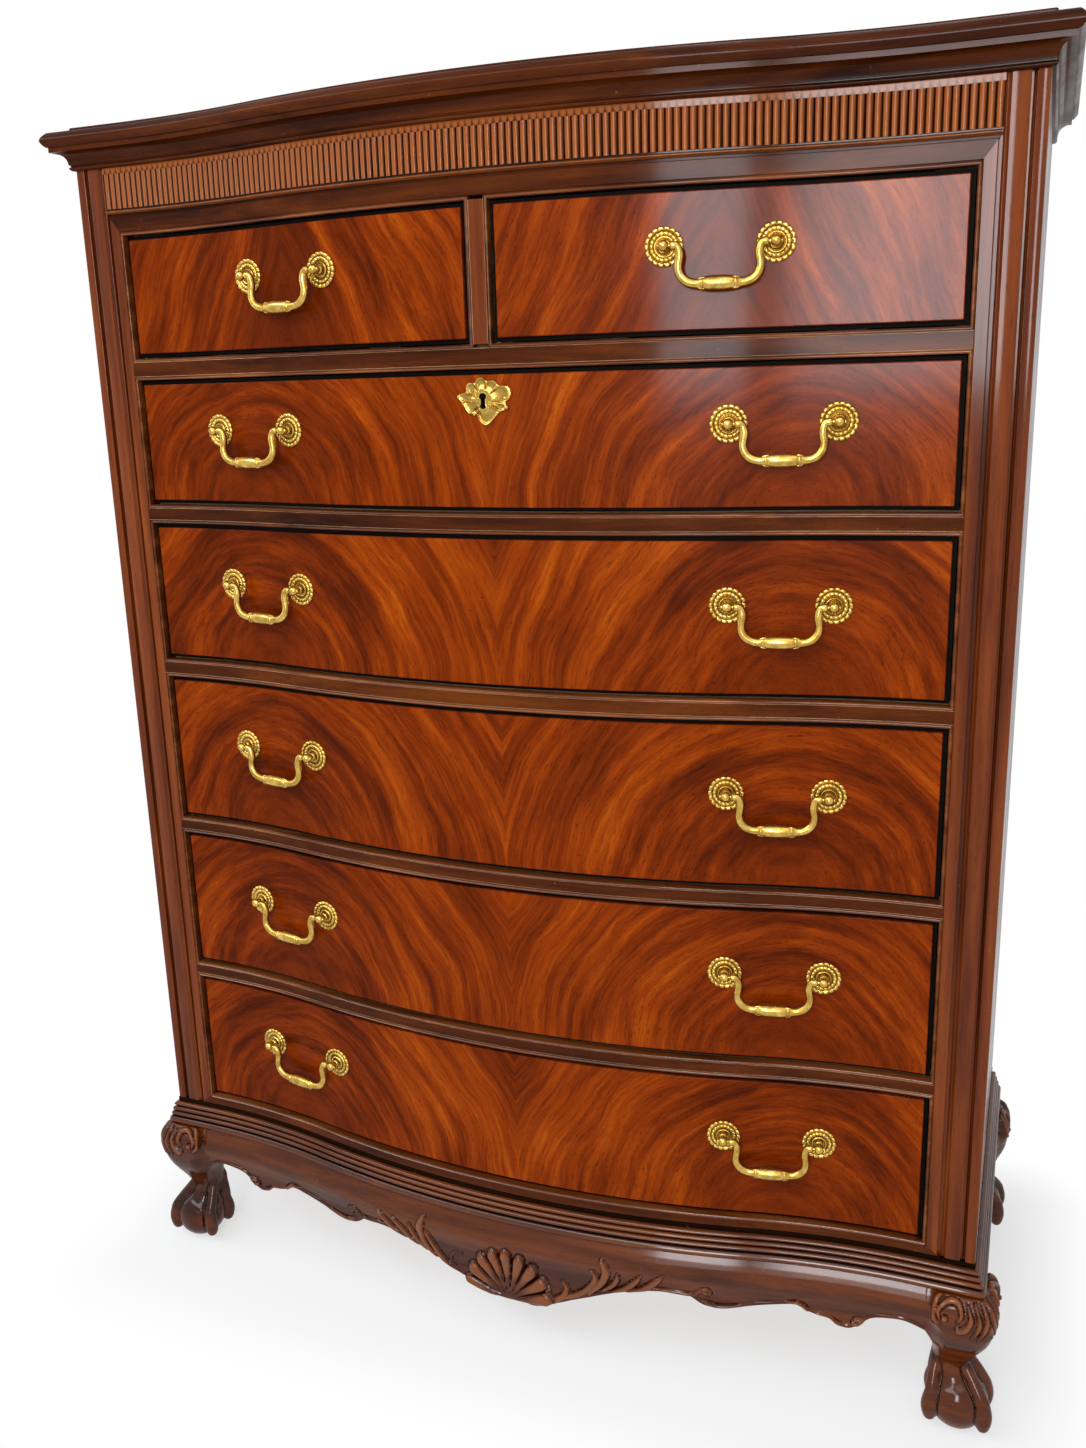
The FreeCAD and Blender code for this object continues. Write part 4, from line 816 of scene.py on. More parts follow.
# %% Face frame
def make_frame():
    """Stiles and top and bottom rails, mitred; the outer edge is rebated."""
    inner = HALF_OPENING + BEAD_WIDTH
    width = STILE_EDGE - inner
    rebate, sunk, back = 3 * MM, -4 * MM, -FRAME_THICKNESS
    row_top, row_low = opening("drawer_1_left")[3], opening("drawer_6")[2]
    top_in, low_in = row_top + BEAD_WIDTH, row_low - BEAD_WIDTH
    eased = 0.7 * MM
    outer = STILE_EDGE - rebate
    section = [(back, inner), (-eased, inner), (0, inner + eased), (0, outer - eased),
               (-eased, outer), (sunk, outer), (sunk, STILE_EDGE), (back, STILE_EDGE)]
    bm = bmesh.new()
    top_slope = (TOP_RAIL_Z - top_in) / width
    low_slope = (low_in - CASE_FACE_Z) / width
    for side in (-1, 1):
        sweep(bm, section, upright(side, lambda across: low_in - (across - inner) * low_slope,
                                   lambda across: top_in + (across - inner) * top_slope))
    make_piece(bm, "stiles", "case", upright_wood, ["face_frame"])
    bm = bmesh.new()
    for z_in, slope, direction in ((top_in, top_slope, 1), (low_in, low_slope, -1)):
        height = abs(slope) * width
        rail_rebate = rebate if direction > 0 else 0
        rail = [(back, 0), (-eased, 0), (0, eased), (0, height - rail_rebate - eased),
                (-eased, height - rail_rebate)]
        if direction > 0:
            rail += [(sunk, height - rail_rebate), (sunk, height)]
        rail += [(back, height)]
        sweep(bm, rail, mitred_run(inner, z_in, slope, direction))
    make_piece(bm, "frame_rails", "case", level_wood)


def mitred_run(inner, z_in, slope, direction):
    """Stations along a bowed rail whose ends are cut to the mitre."""
    def end(side):
        return lambda out, up: Vector((side * (inner + up / slope), FACE_Y - out,
                                       z_in + direction * up))

    def mid(x):
        return lambda out, up: Vector((x, front_y(x, out), z_in + direction * up))

    bow = [mid(x) for x in steps(-HALF_OPENING, HALF_OPENING, BOW_STEPS)]
    return [end(-1)] + bow + [end(1)]


make_frame()

# %% [markdown]
# The rails between the drawers follow the bow too, and each opening is edged with a cock
# bead: a thin rounded strip that stands a little proud and guards the veneer.

# %% Rails and divider
def skin_section(start, end):
    """Thin facing between two edges, its arrises just eased."""
    eased, skin, under = 0.6 * MM, 0.4 * MM, -3 * MM
    return [(under, start), (-eased, start), (skin, start + eased),
            (skin, end - eased), (-eased, end), (under, end)]


def make_rails():
    bm = bmesh.new()
    levels = [opening(drawer)[2:] for drawer in DRAWERS if drawer != "drawer_1_right"]
    half = HALF_OPENING + BEAD_WIDTH
    for (upper_low, _), (_, lower_high) in zip(levels, levels[1:]):
        section = skin_section(lower_high + BEAD_WIDTH, upper_low - BEAD_WIDTH)
        bowed_strip(bm, section, -half, half)
    make_piece(bm, "rail_faces", "case", level_wood)


def make_divider():
    _, left, low, high = opening("drawer_1_left")
    right = opening("drawer_1_right")[0]

    def at(z):
        return lambda out, across: Vector((across, front_y(across, out), z))

    bm = bmesh.new()
    sweep(bm, skin_section(left + BEAD_WIDTH, right - BEAD_WIDTH), [at(low), at(high)])
    make_piece(bm, "divider_face", "case", upright_wood)


make_rails()
make_divider()

# %% Cock beads
def bead_station(edge, side, level, direction):
    """Station of a cock bead; with a side of -1 or 1, cut to the mitre of a corner."""
    return lambda out, up: Vector((edge + side * up, front_y(edge, out), level + direction * up))


def make_cock_beads():
    bm = bmesh.new()
    proud, flank, back = 1.5 * MM, 0.2 * MM, -8 * MM
    section = [(back, 0), (flank, 0)]
    section += bulge((flank, 0), (flank, BEAD_WIDTH), -proud, 6) + [(back, BEAD_WIDTH)]
    for drawer in DRAWERS:
        left, right, low, high = opening(drawer)
        count = max(2, round(BOW_STEPS * (right - left) / (2 * HALF_OPENING)))
        for edge, direction in ((high, 1), (low, -1)):
            run = [bead_station(left, -1, edge, direction)]
            run += [bead_station(x, 0, edge, direction) for x in steps(left, right, count)]
            run += [bead_station(right, 1, edge, direction)]
            sweep(bm, section, run)
        for edge, side in ((left, -1), (right, 1)):
            sweep(bm, section, [bead_station(edge, side, low, -1), bead_station(edge, side, high, 1)])
    make_piece(bm, "cock_beads", "case", bead_wood, ["cock_beading"], smooth=60)


make_cock_beads()

# %% [markdown]
# The base moulding repeats the language of the frieze lying down: three reeds that step out
# over a larger one. It runs round the case like the cornice does, but its outer members are
# rounded at the corners. The reeds are too fine for a mesh's own pointiness, so the sweep
# writes into the "carving" layer where the colour gets a painted highlight high on each reed
# and painted shade low in each valley. Above lies a narrow fillet coloured near black as
# painted shade, the shadow line of the case.

# %% Soft corners
CORNER_EASE = 7 * MM


def around_soft_corners(reach):
    """Stations like those round the case, with the outermost members rounded at corners."""
    pivot = reach - CORNER_EASE

    def corner(side, turn):
        def station(out, up):
            radius = max(out - pivot, 0.04 * MM)
            centre = min(out, pivot)
            return Vector((side * (HALF_CASE + centre + radius * math.cos(turn)),
                           FACE_Y - centre - radius * math.sin(turn), up))
        return station

    turns = [math.radians(turn) for turn in (0, 22, 45, 68, 90)]
    run = around_case()
    left = [corner(-1, turn) for turn in turns]
    right = [corner(1, turn) for turn in reversed(turns)]
    return [run[0]] + left + run[2:-2] + right + [run[-1]]

# %% Base moulding
def make_base_moulding():
    low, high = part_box("base_moulding")
    reach = high.x - HALF_CASE
    torus, reeds, step = 9 * MM, 3, 2.1 * MM
    reed = (high.z - low.z - torus) / reeds
    nose = reach - 3.1 * MM
    section = [(-8 * MM, low.z), (nose, low.z)]
    section += bulge((nose, low.z), (nose, low.z + torus), 3.0 * MM, 8)
    for i in range(reeds):
        out = nose - (i + 1) * step
        start = low.z + torus + i * reed
        section += [(out - 1.4 * MM, start), (out - 1.4 * MM, start + 0.6 * MM)]
        section += [(out, start + 0.9 * MM)]
        section += bulge((out, start + 0.9 * MM), (out, start + reed - 0.1 * MM), 2.0 * MM, 7)
    section += [(-8 * MM, high.z)]
    bm = bmesh.new()
    sweep(bm, section, around_soft_corners(reach))
    # High on each reed a painted highlight, and in the valley at its foot painted shade.
    crest_light_valley_shade = bm.verts.layers.float.new("carving")
    crest, crest_width, valley = 0.66, 0.14, 0.34        # shares of a reed's height
    for vert in bm.verts:
        level = vert.co.z - low.z
        share = level / torus if level < torus else (level - torus) % reed / reed
        vert[crest_light_valley_shade] = max(0, 1 - abs(share - crest) / crest_width) - max(0, 1 - share / valley)
    make_piece(bm, "base_reeds", "case", moulding_wood, ["base_moulding"], smooth=60)


# The fillet is coloured near black as painted shade for the groove's shadow.
def make_shadow_fillet():
    low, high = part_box("base_moulding")[1].z - 1 * MM, CASE_FACE_Z + 0.3 * MM
    bm = bmesh.new()
    sweep(bm, [(-6 * MM, low), (0.5 * MM, low), (0.5 * MM, high), (-6 * MM, high)], around_case())
    make_piece(bm, "base_fillet", "case", painted_shade_wood)


make_base_moulding()
make_shadow_fillet()

# %% [markdown]
# ## Drawer fronts
# A bowed front is built up of blocks and faced with veneer. The edge round the face is
# stained black, which sets each drawer off in its opening. The CAD front keeps its shape as
# the core, and the veneered face is a thin bowed board over it, its edges just eased. On
# the drawer with the lock, two runs of faces are opened and bridged to line the keyhole.

# %% Keyhole in a face
FACE_MARGIN = 5.3 * MM
FACE_BACK = -7.4 * MM
LOCKED = "drawer_2"
KEYHOLE_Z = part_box("escutcheon")[0].z + 22.5 * MM
KEYHOLE_HALF, KEYHOLE_TALL = 4 * MM, 18 * MM


def face_with_keyhole(bm, out, left, right, low, high):
    """Face whose strip between two stations is cut through and lined, for the key."""
    foot, top = KEYHOLE_Z - KEYHOLE_TALL / 2, KEYHOLE_Z + KEYHOLE_TALL / 2
    section = [(FACE_BACK, low), (out, low), (out, foot), (out, top), (out, high),
               (FACE_BACK, high), (FACE_BACK, top), (FACE_BACK, foot)]
    places = steps(left, -KEYHOLE_HALF, BOW_STEPS // 2) + steps(KEYHOLE_HALF, right, BOW_STEPS // 2)
    sweep(bm, section, [along_front(x) for x in places])
    cut = [face for face in bm.faces if abs(face.normal.y) > 0.5
           and abs(face.calc_center_median().x) < KEYHOLE_HALF
           and foot < face.calc_center_median().z < top]
    loops = [edge for face in cut for edge in face.edges]
    bmesh.ops.delete(bm, geom=cut, context="FACES_ONLY")
    bmesh.ops.bridge_loops(bm, edges=loops)
    print("keyhole cut through", len(cut), "faces")

# %% Veneered faces
def make_faces():
    out = -FRONT_RECESS + 0.3 * MM
    for drawer in DRAWERS:
        left, right, low, high = opening(drawer)
        low, high = low + FACE_MARGIN, high - FACE_MARGIN
        left, right = left + FACE_MARGIN, right - FACE_MARGIN
        bm = bmesh.new()
        if drawer == LOCKED:
            face_with_keyhole(bm, out, left, right, low, high)
        else:
            section = [(FACE_BACK, low), (out, low), (out, high), (FACE_BACK, high)]
            bowed_strip(bm, section, left, right)
        make_piece(bm, drawer + "_face", drawer, flame_veneer(drawer),
                   ease=0.9 * MM)
        frame["nodes"][drawer + "_front"].data.materials[0] = edge_stain


make_faces()

# %% [markdown]
# ## Pulls
# The pulls are cast brass: two rosettes with scalloped edges, a ball-headed post through
# each, and a bail that swings on pins in the posts. Rosettes and posts are turned shapes,
# so their half profile is spun about the post's axis, and the scallops and ribs are then
# pressed into the rim. A pull's place comes from the joint that its bail swings on.

# %% Turning
def turned(name, profile, spokes, press=None):
    """Mesh spun from a (radius, height) profile in mm about Z; its ends lie on the axis."""
    bm = bmesh.new()
    line = [bm.verts.new((radius * MM, 0, height * MM)) for radius, height in profile]
    edges = [bm.edges.new(pair) for pair in zip(line, line[1:])]
    bmesh.ops.spin(bm, geom=line + edges, cent=(0, 0, 0), axis=(0, 0, 1), dvec=(0, 0, 0),
                   angle=2 * math.pi, steps=spokes, use_merge=True, use_duplicate=False)
    poles = [vert for vert in bm.verts if vert.co.xy.length < 1e-6]
    bmesh.ops.remove_doubles(bm, verts=poles, dist=1e-6)
    if press:
        for vert in bm.verts:
            radius, angle = vert.co.xy.length, math.atan2(vert.co.y, vert.co.x)
            radius, height = press(radius / MM, angle, vert.co.z / MM)
            vert.co = Vector((math.cos(angle) * radius, math.sin(angle) * radius, height)) * MM
    mesh = bpy.data.meshes.new(name)
    bm.to_mesh(mesh)
    bm.free()
    return mesh


def add_placed(bm, mesh, place):
    """Add a copy of a mesh to bm, moved to its place."""
    copy = mesh.copy()
    copy.transform(place)
    bm.from_mesh(copy)
    bpy.data.meshes.remove(copy)

# %% Profiles of rosette, post and nut
# radius and height over the drawer's face, in mm
ROSETTE = [(0, 2.0), (5.6, 2.0), (6.2, 3.0), (7.0, 3.3), (7.8, 2.6), (8.2, 1.2), (8.8, 1.2),
           (9.3, 2.3), (10.2, 3.1), (11.6, 3.3), (12.6, 2.7), (13.1, 1.9), (13.5, 2.1),
           (14.4, 2.9), (15.8, 3.2), (16.9, 2.8), (17.5, 1.6), (17.6, -1.2), (0, -1.2)]
POST = [(0, 17.2), (1.8, 16.9), (3.4, 15.9), (4.6, 14.4), (5.2, 12.3), (4.9, 10.4), (3.9, 8.8),
        (3.3, 7.6), (3.2, 6.0), (4.2, 5.2), (4.3, 4.4), (3.4, 3.6), (3.4, -1), (2.4, -1),
        (2.4, -27), (0, -27)]
NUT = [(0, -19.6), (5.0, -19.6), (5.0, -23.6), (4.2, -24.2), (0, -24.2)]
LOBES = 18
RING_INSIDE, RING_OUTSIDE, RIM_INSIDE = 9, 13.2, 13.6
PIN_REACH = 12 * MM                # pins out from the drawer's face
HALF_BORING = 49 * MM              # half the distance between the posts


def scallop(radius, angle, height):
    """Round lobes on the rim with fine ribs on the ring inside them."""
    notch = 1 - abs(math.cos(angle * LOBES / 2))
    if radius > RIM_INSIDE:
        share = min(1, (radius - RIM_INSIDE) / 1.6)
        drop = notch ** 3 if height > 0.8 else 0
        return radius - 0.8 * share * notch ** 2, height - drop * share
    if RING_INSIDE < radius < RING_OUTSIDE:
        return radius, height - 0.5 * notch ** 2
    return radius, height

# %% Rosettes
def pull_frames():
    """Each bail with its drawer, the middle of its pins, and its directions."""
    found = []
    for joint in frame["joints"]:
        if joint["child"].startswith("bail"):
            along = -Vector(joint["axis"])
            out = Vector((along.y, -along.x, 0))
            found.append((joint["child"], joint["parent"], Vector(joint["pos_m"]), along, out))
    return found


def make_rosettes():
    parts = [turned("rosette", ROSETTE, LOBES * 8, scallop), turned("post", POST, 24),
             turned("nut", NUT, 6)]
    by_drawer = {}
    for _, drawer, middle, along, out in pull_frames():
        bm = by_drawer.setdefault(drawer, bmesh.new())
        turn = Matrix((along, Vector((0, 0, 1)), out)).transposed().to_4x4()
        for side in (-1, 1):
            seat = middle - out * PIN_REACH + along * (side * HALF_BORING)
            place = Matrix.Translation(seat) @ turn
            for part in parts:
                add_placed(bm, part, place)
    for drawer, bm in by_drawer.items():
        make_piece(bm, drawer + "_rosettes", drawer, brass, [drawer + "_pulls"],
                   smooth=50)


make_rosettes()

# %% [markdown]
# A bail is one casting: a round bar that leaves the post, drops in an ogee and fills out to
# a barrel grip with a leaf wrapped round each shoulder. It could be a curve with a bevel,
# but the bar's thickness changes all the way, so a ring is swept along the ogee and each
# station carries its own radius. The bail leans out a little as it drops, so that its grip
# clears the bowed face both when it hangs and when it is turned right up.

# %% Smooth lines
def curve_points(points, count):
    """Smooth line through the points; each may carry any number of values."""
    found = []
    for i in range(len(points) - 1):
        before, after = points[max(i - 1, 0)], points[min(i + 2, len(points) - 1)]
        for step in range(count):
            t = step / count
            found.append(tuple(0.5 * (2 * b + (c - a) * t + (2 * a - 5 * b + 4 * c - d) * t * t
                                      + (3 * b - a - 3 * c + d) * t ** 3)
                               for a, b, c, d in zip(before, points[i], points[i + 1], after)))
    return found + [tuple(points[-1])]

# %% Bail profile
# distance from the middle, drop below the pins and radius of the bar, in mm
BAIL_LINE = [(43.6, 0, 0.6), (43.1, 0, 2.4), (41.8, 0, 3.7), (40, 0.1, 4.0), (38, 0.3, 3.8),
             (36.2, 1.8, 3.5), (35.0, 5, 3.7), (34.6, 8.5, 3.9), (34.9, 12, 3.8), (35.6, 16, 3.7),
             (35.7, 20, 3.8), (34.7, 24, 4.0), (32.2, 27.8, 4.2), (28.4, 30.8, 4.3),
             (24, 32.4, 4.2), (19.6, 33, 4.4), (16.2, 33, 4.9)]
# distance from the middle and radius of the grip
GRIP = [(15.6, 5.4), (14.8, 5.8), (13.8, 5.3), (12.4, 5.9), (9, 6.4), (5, 6.7), (0, 6.8)]
BAIL_DROP = 33                     # from the pins to the grip's axis
FORWARD = 0.022                    # how much the bail leans out from the face as it drops
# distance from the middle, reach from the grip's axis and half thickness of a leaf on it
LEAF = [(20.5, 2.6, 0.5), (18.6, 3.6, 1.0), (16.4, 4.7, 1.2), (14.0, 5.3, 1.0), (11.4, 5.6, 0.4)]
LEAF_RISE, LEAF_FORWARD = math.cos(0.55), 0.45       # shares of its reach
# radius and distance from the middle of the pin's turned profile
PIN = [(0, 55.4), (1.4, 55.1), (2.1, 54.3), (2.2, 53.6), (1.9, 53), (1.9, 41), (0, 41)]

# %% Bails
def circle(count):
    """Unit circle as section points."""
    turns = [2 * math.pi * i / count for i in range(count)]
    return [(math.cos(turn), math.sin(turn)) for turn in turns]


def ring_station(centre, run, side, radius):
    """Station for a round bar: a section point is the cosine and sine about the run."""
    up = run.cross(side)
    return lambda out, level: centre + (side * out + up * level) * radius


def bar_stations(centres, radii, side):
    """Stations of a round bar along centres; side is square to the bar all the way."""
    stations = []
    for i, (centre, radius) in enumerate(zip(centres, radii)):
        run = centres[min(i + 1, len(centres) - 1)] - centres[max(i - 1, 0)]
        stations.append(ring_station(centre, run.normalized(), side, radius))
    return stations


def bail_line():
    """The whole bail from pin to pin: distance from the middle, drop and radius."""
    right = curve_points(BAIL_LINE, 4)
    right += [(across, BAIL_DROP, radius) for across, radius in curve_points(GRIP, 3)]
    return right + [(-across, drop, radius) for across, drop, radius in reversed(right[:-1])]


def add_leaves(bm, middle, along, out, side):
    """Two leaves that wrap one shoulder of the grip, above and below."""
    for level in (-1, 1):
        stations = []
        for across, reach, radius in curve_points(LEAF, 3):
            drop = BAIL_DROP + level * reach * LEAF_RISE
            spot = along * (side * across) - Vector((0, 0, drop))
            spot += out * (reach * LEAF_FORWARD + BAIL_DROP * FORWARD)
            stations.append(ring_station(middle + spot * MM, along * side, out, radius * MM))
        sweep(bm, circle(8), stations)


def make_bails():
    line = bail_line()
    radii = [radius * MM for _, _, radius in line]
    pin = turned("pin", PIN, 16)
    for bail, _, middle, along, out in pull_frames():
        bm = bmesh.new()
        centres = [middle + (along * across + out * (drop * FORWARD) - Vector((0, 0, drop))) * MM
                   for across, drop, _ in line]
        sweep(bm, circle(16), bar_stations(centres, radii, out))
        for side in (-1, 1):
            add_leaves(bm, middle, along, out, side)
            spin_axis = Matrix((out, Vector((0, 0, 1)), along * side)).transposed().to_4x4()
            add_placed(bm, pin, Matrix.Translation(middle) @ spin_axis)
        make_piece(bm, bail + "_casting", bail, brass, [bail], smooth=50)


make_bails()

# %% [markdown]
# ## Escutcheon
# The lock's plate is a shell seen as a cartoon: five scooped lobes over the keyhole, a curl
# at the right and a short tail. Its outline is drawn by its reach from the middle of the
# keyhole, turn by turn. The plate is a web of rings between keyhole and rim, bridged one to
# the next, so that each lobe can be scooped by its place in the web alone.

# %% Outline of the shell and of the keyhole
# turn from upright in degrees and reach in mm, clockwise from the left
RIM_START = -91
SHELL_RIM = [(-91, 22.6), (-83, 27), (-76, 27.6), (-69, 24), (-61, 19.4), (-51, 22.6), (-41, 24.8),
             (-33, 23.6), (-25, 19.8), (-17, 22.6), (-8, 25), (1, 24.4), (8, 21.6), (14, 20.8),
             (22, 23), (30, 24.2), (38, 23.4), (45, 22.2), (52, 26), (59, 29.2), (67, 30), (76, 29.4),
             (85, 27), (92, 23.6), (98, 22.6), (105, 25.6), (112, 24.4), (120, 20.6),
             (132, 19.8), (146, 20.4), (156, 21.8), (168, 24), (175, 24.8), (184, 23.2),
             (193, 20), (201, 16.6), (208, 14.2), (213, 17.6), (217, 18.2), (223, 17), (232, 20),
             (241, 20.6), (250, 20.4), (259, 22), (269, 22.6)]
VALLEYS = (-91, -61, -25, 11, 44, 98, 120, 205, 229)
SHELL_SQUAT = 0.92                 # height of the shell against its width
PEARLS = ((23.5, -6.0, 2.4), (22.4, 2.6, 2.0), (13.8, 4.4, 1.7))       # x, z and radius in mm
KEY_EYE, KEY_FOOT, KEY_SLOT = 3.7, 3.1, 2.3       # radii and half width in mm
KEY_RISE = 4.8                     # of the eye above the middle, and of the foot below it


def key_reach(turn):
    """Reach of the keyhole's outline from its middle."""
    side, up = abs(math.sin(turn)), math.cos(turn)
    rise, radius = (KEY_RISE, KEY_EYE) if up > 0 else (-KEY_RISE, KEY_FOOT)
    offset = rise * up
    inside = radius ** 2 - (rise * side) ** 2
    reach = offset + math.sqrt(inside) if inside > 0 and offset > 0 else 0
    return max(reach, min(KEY_SLOT / max(side, 0.05), KEY_RISE))

# %% Shell escutcheon
def shell_height(degrees, share):
    """Height of the plate: a raised rim, and lobes scooped between ridges."""
    gap = min(abs(degrees - valley) for valley in VALLEYS)
    ridge = max(0, 1 - gap / 4.5)
    rim = max(0, 1 - abs(share - 0.93) / 0.09)
    near_key = max(0, 1 - share / 0.16)
    dome = 1.5 + 1.5 * math.sin(math.pi * min(1, share * 0.9 + 0.1))
    scoop = -1.9 * math.sin(math.pi * min(1, max(0, (share - 0.25) / 0.68)))
    return dome + scoop * (1 - ridge) + 0.8 * max(ridge * min(1, share * 2), rim, near_key)


def make_escutcheon():
    around, across = 180, 18
    face_out = -FRONT_RECESS + 0.2 * MM
    rim_turns, rim_reaches = zip(*SHELL_RIM)
    bm = bmesh.new()
    rings = []
    for j in range(across + 1):
        share = j / across
        ring = []
        for i in range(around):
            degrees = RIM_START + 360 * i / around
            turn = math.radians(degrees)
            inner, outer = key_reach(turn), float(np.interp(degrees, rim_turns, rim_reaches))
            reach = inner + (outer - inner) * share
            x = reach * math.sin(turn) * MM
            z = KEYHOLE_Z + reach * math.cos(turn) * SHELL_SQUAT * MM
            lift = shell_height(degrees, share) * MM
            ring.append(bm.verts.new((x, front_y(x, face_out + lift), z)))
        rings.append([bm.edges.new(pair) for pair in zip(ring, ring[1:] + ring[:1])])
    for inner, outer in zip(rings, rings[1:]):
        bmesh.ops.bridge_loops(bm, edges=inner + outer)
    back = []
    for edges in (rings[-1], rings[0]):
        grown = bmesh.ops.extrude_edge_only(bm, edges=edges)["geom"]
        for vert in grown:
            if isinstance(vert, bmesh.types.BMVert):
                vert.co.y = front_y(vert.co.x, face_out - 0.6 * MM)
        back += [part for part in grown if isinstance(part, bmesh.types.BMEdge)]
    bmesh.ops.bridge_loops(bm, edges=back)
    for x, z, radius in PEARLS:
        spot = Vector((x * MM, front_y(x * MM, face_out + 1.4 * MM), KEYHOLE_Z + z * MM))
        bmesh.ops.create_uvsphere(bm, u_segments=20, v_segments=12, radius=radius * MM,
                                  matrix=Matrix.Translation(spot))
    make_piece(bm, "shell_escutcheon", "drawer_2", brass, ["escutcheon"], smooth=55)


make_escutcheon()

# %% [markdown]
# ## Carving
# The apron and the knees are carved by hand. Each cut or ridge is a stroke: a line with a
# width that swells and tapers, round across. The strokes are laid over the bare form as a
# relief, which keeps the drawing in one short table and the mesh closed.

# %% Relief from strokes
GROOVE_DEPTH = 1.1                 # of the cut that sets a stroke off from its ground, in mm
FULL_WIDTH = 2.2                   # half width from which a stroke has its full height, in mm
THINNEST = 0.3


def stroke_relief(x, z, strokes, groove_width=1.9):
    """Height and groove over flat points x, z (mm): the highest of all strokes, and how
    deep (0 to 1) a point lies in the cut beside them.

    A stroke is a height and its points (x, z, half width)."""
    relief, groove = np.zeros_like(x), np.zeros_like(x)
    for height, points in strokes:
        line = np.array(curve_points(points, 6))
        for (x0, z0, r0), (x1, z1, r1) in zip(line, line[1:]):
            widest = max(r0, r1) + groove_width
            near = np.nonzero((x > min(x0, x1) - widest) & (x < max(x0, x1) + widest)
                              & (z > min(z0, z1) - widest) & (z < max(z0, z1) + widest))[0]
            run_x, run_z = x1 - x0, z1 - z0
            length = max(run_x ** 2 + run_z ** 2, 1e-9)
            share = ((x[near] - x0) * run_x + (z[near] - z0) * run_z) / length
            share = np.clip(share, 0, 1)
            away = np.hypot(x[near] - x0 - share * run_x, z[near] - z0 - share * run_z)
            radius = np.maximum(r0 + (r1 - r0) * share, THINNEST)
            rise = np.sqrt(np.clip(1 - (away / radius) ** 2, 0, 1)) * height
            rise *= np.minimum(1, radius / FULL_WIDTH)
            relief[near] = np.maximum(relief[near], rise)
            beside = np.clip(1 - (away - radius) / groove_width, 0, 1)
            groove[near] = np.maximum(groove[near], beside)
    groove = np.where(relief > 0.12, 0, groove)
    return relief, groove

# %% [markdown]
# The front apron is a bowed board with a cushioned face and a scrolled lower edge. A bead
# follows the edge and breaks into small scrolls; in the middle stands a shell of nine lobes
# between two sprays of leaves.

# %% Apron edge and sprays
LEG_BLOCK = 46 * MM
APRON_DEPTH = 103 * MM
# share of the half length and rise above the pendant's tip in mm
EDGE_RUNS = [[(0, 0), (0.072, 2.5), (0.174, 22), (0.272, 40), (0.374, 51), (0.455, 50)],
             [(0.455, 50), (0.482, 41), (0.512, 38), (0.55, 39.5), (0.618, 47), (0.702, 54.5)],
             [(0.702, 54.5), (0.743, 45), (0.781, 42.5), (0.802, 34.5), (0.829, 32.5), (0.854, 40)],
             [(0.854, 40), (0.879, 51), (0.915, 56), (0.956, 57.5), (1, 51)]]
# height in mm, then points (x, z, half width) in mm
RIGHT_SPRAY = [(2.6, [(8, 70, 2.5), (32, 72, 4.2), (56, 86, 4.0), (62, 100, 3.4), (57, 108, 1.6)]),
               (3.0, [(40, 95, 4.2), (40.5, 94.5, 4.2)]),
               (2.6, [(60, 87, 2.5), (82, 99, 4.0), (95, 116, 4.2), (96, 127, 3.2), (91, 133, 1.0)]),
               (2.8, [(88, 98, 2), (103, 116, 4.6), (109, 132, 5.0), (108, 142, 4.2), (104, 149, 1.4)]),
               (2.4, [(104, 106, 2), (115, 115, 3.6), (121, 125, 3.4), (122.5, 134, 1.2)]),
               (2.4, [(116, 107, 2), (130, 114, 4.0), (141, 125, 4.0), (148, 136, 1.2)]),
               (2.4, [(132, 110, 2), (150, 117, 4.0), (163, 129, 4.2), (173, 141, 0.9)]),
               (2.0, [(145, 115, 1.5), (170, 119.5, 2.2), (192, 118, 2.2), (205, 119, 2.2),
                      (213, 126, 2.0), (219, 128, 2.0), (222, 123, 1.8), (218, 119, 1.6)]),
               (2.6, [(216.5, 123.5, 2.6), (217, 123.5, 2.6)])]
LEFT_SPRAY = [(2.6, [(-26, 70, 2.5), (-53, 73, 4.2), (-80, 86, 4.0), (-99, 106, 3.6),
                     (-108, 122, 3.0), (-111.5, 133, 1.4)]),
              (2.6, [(-100, 98, 2), (-114, 112, 4.4), (-119, 130, 5.2), (-117, 142, 4.6),
                     (-112, 153, 1.2)]),
              (2.4, [(-112, 104, 2), (-124, 113, 3.8), (-131, 124, 3.6), (-134, 136, 1.2)]),
              (2.4, [(-124, 106, 2), (-138, 116, 4.0), (-149, 127, 3.8), (-157, 138, 1.0)]),
              (2.4, [(-140, 110, 2), (-158, 119, 4.0), (-170, 131, 3.8), (-178, 141, 1.0)]),
              (1.6, [(-68, 82, 1.4), (-81, 98, 1.8), (-77, 110, 1.6), (-66, 112, 1.2)])]
print("sprays of %d and %d strokes" % (len(RIGHT_SPRAY), len(LEFT_SPRAY)))

# %% Apron shell
LOBE_COUNT = 9
HINGE_X, HINGE_Z = -9, 67
SHELL_HALF, SHELL_TALL = 56.0, 69.0


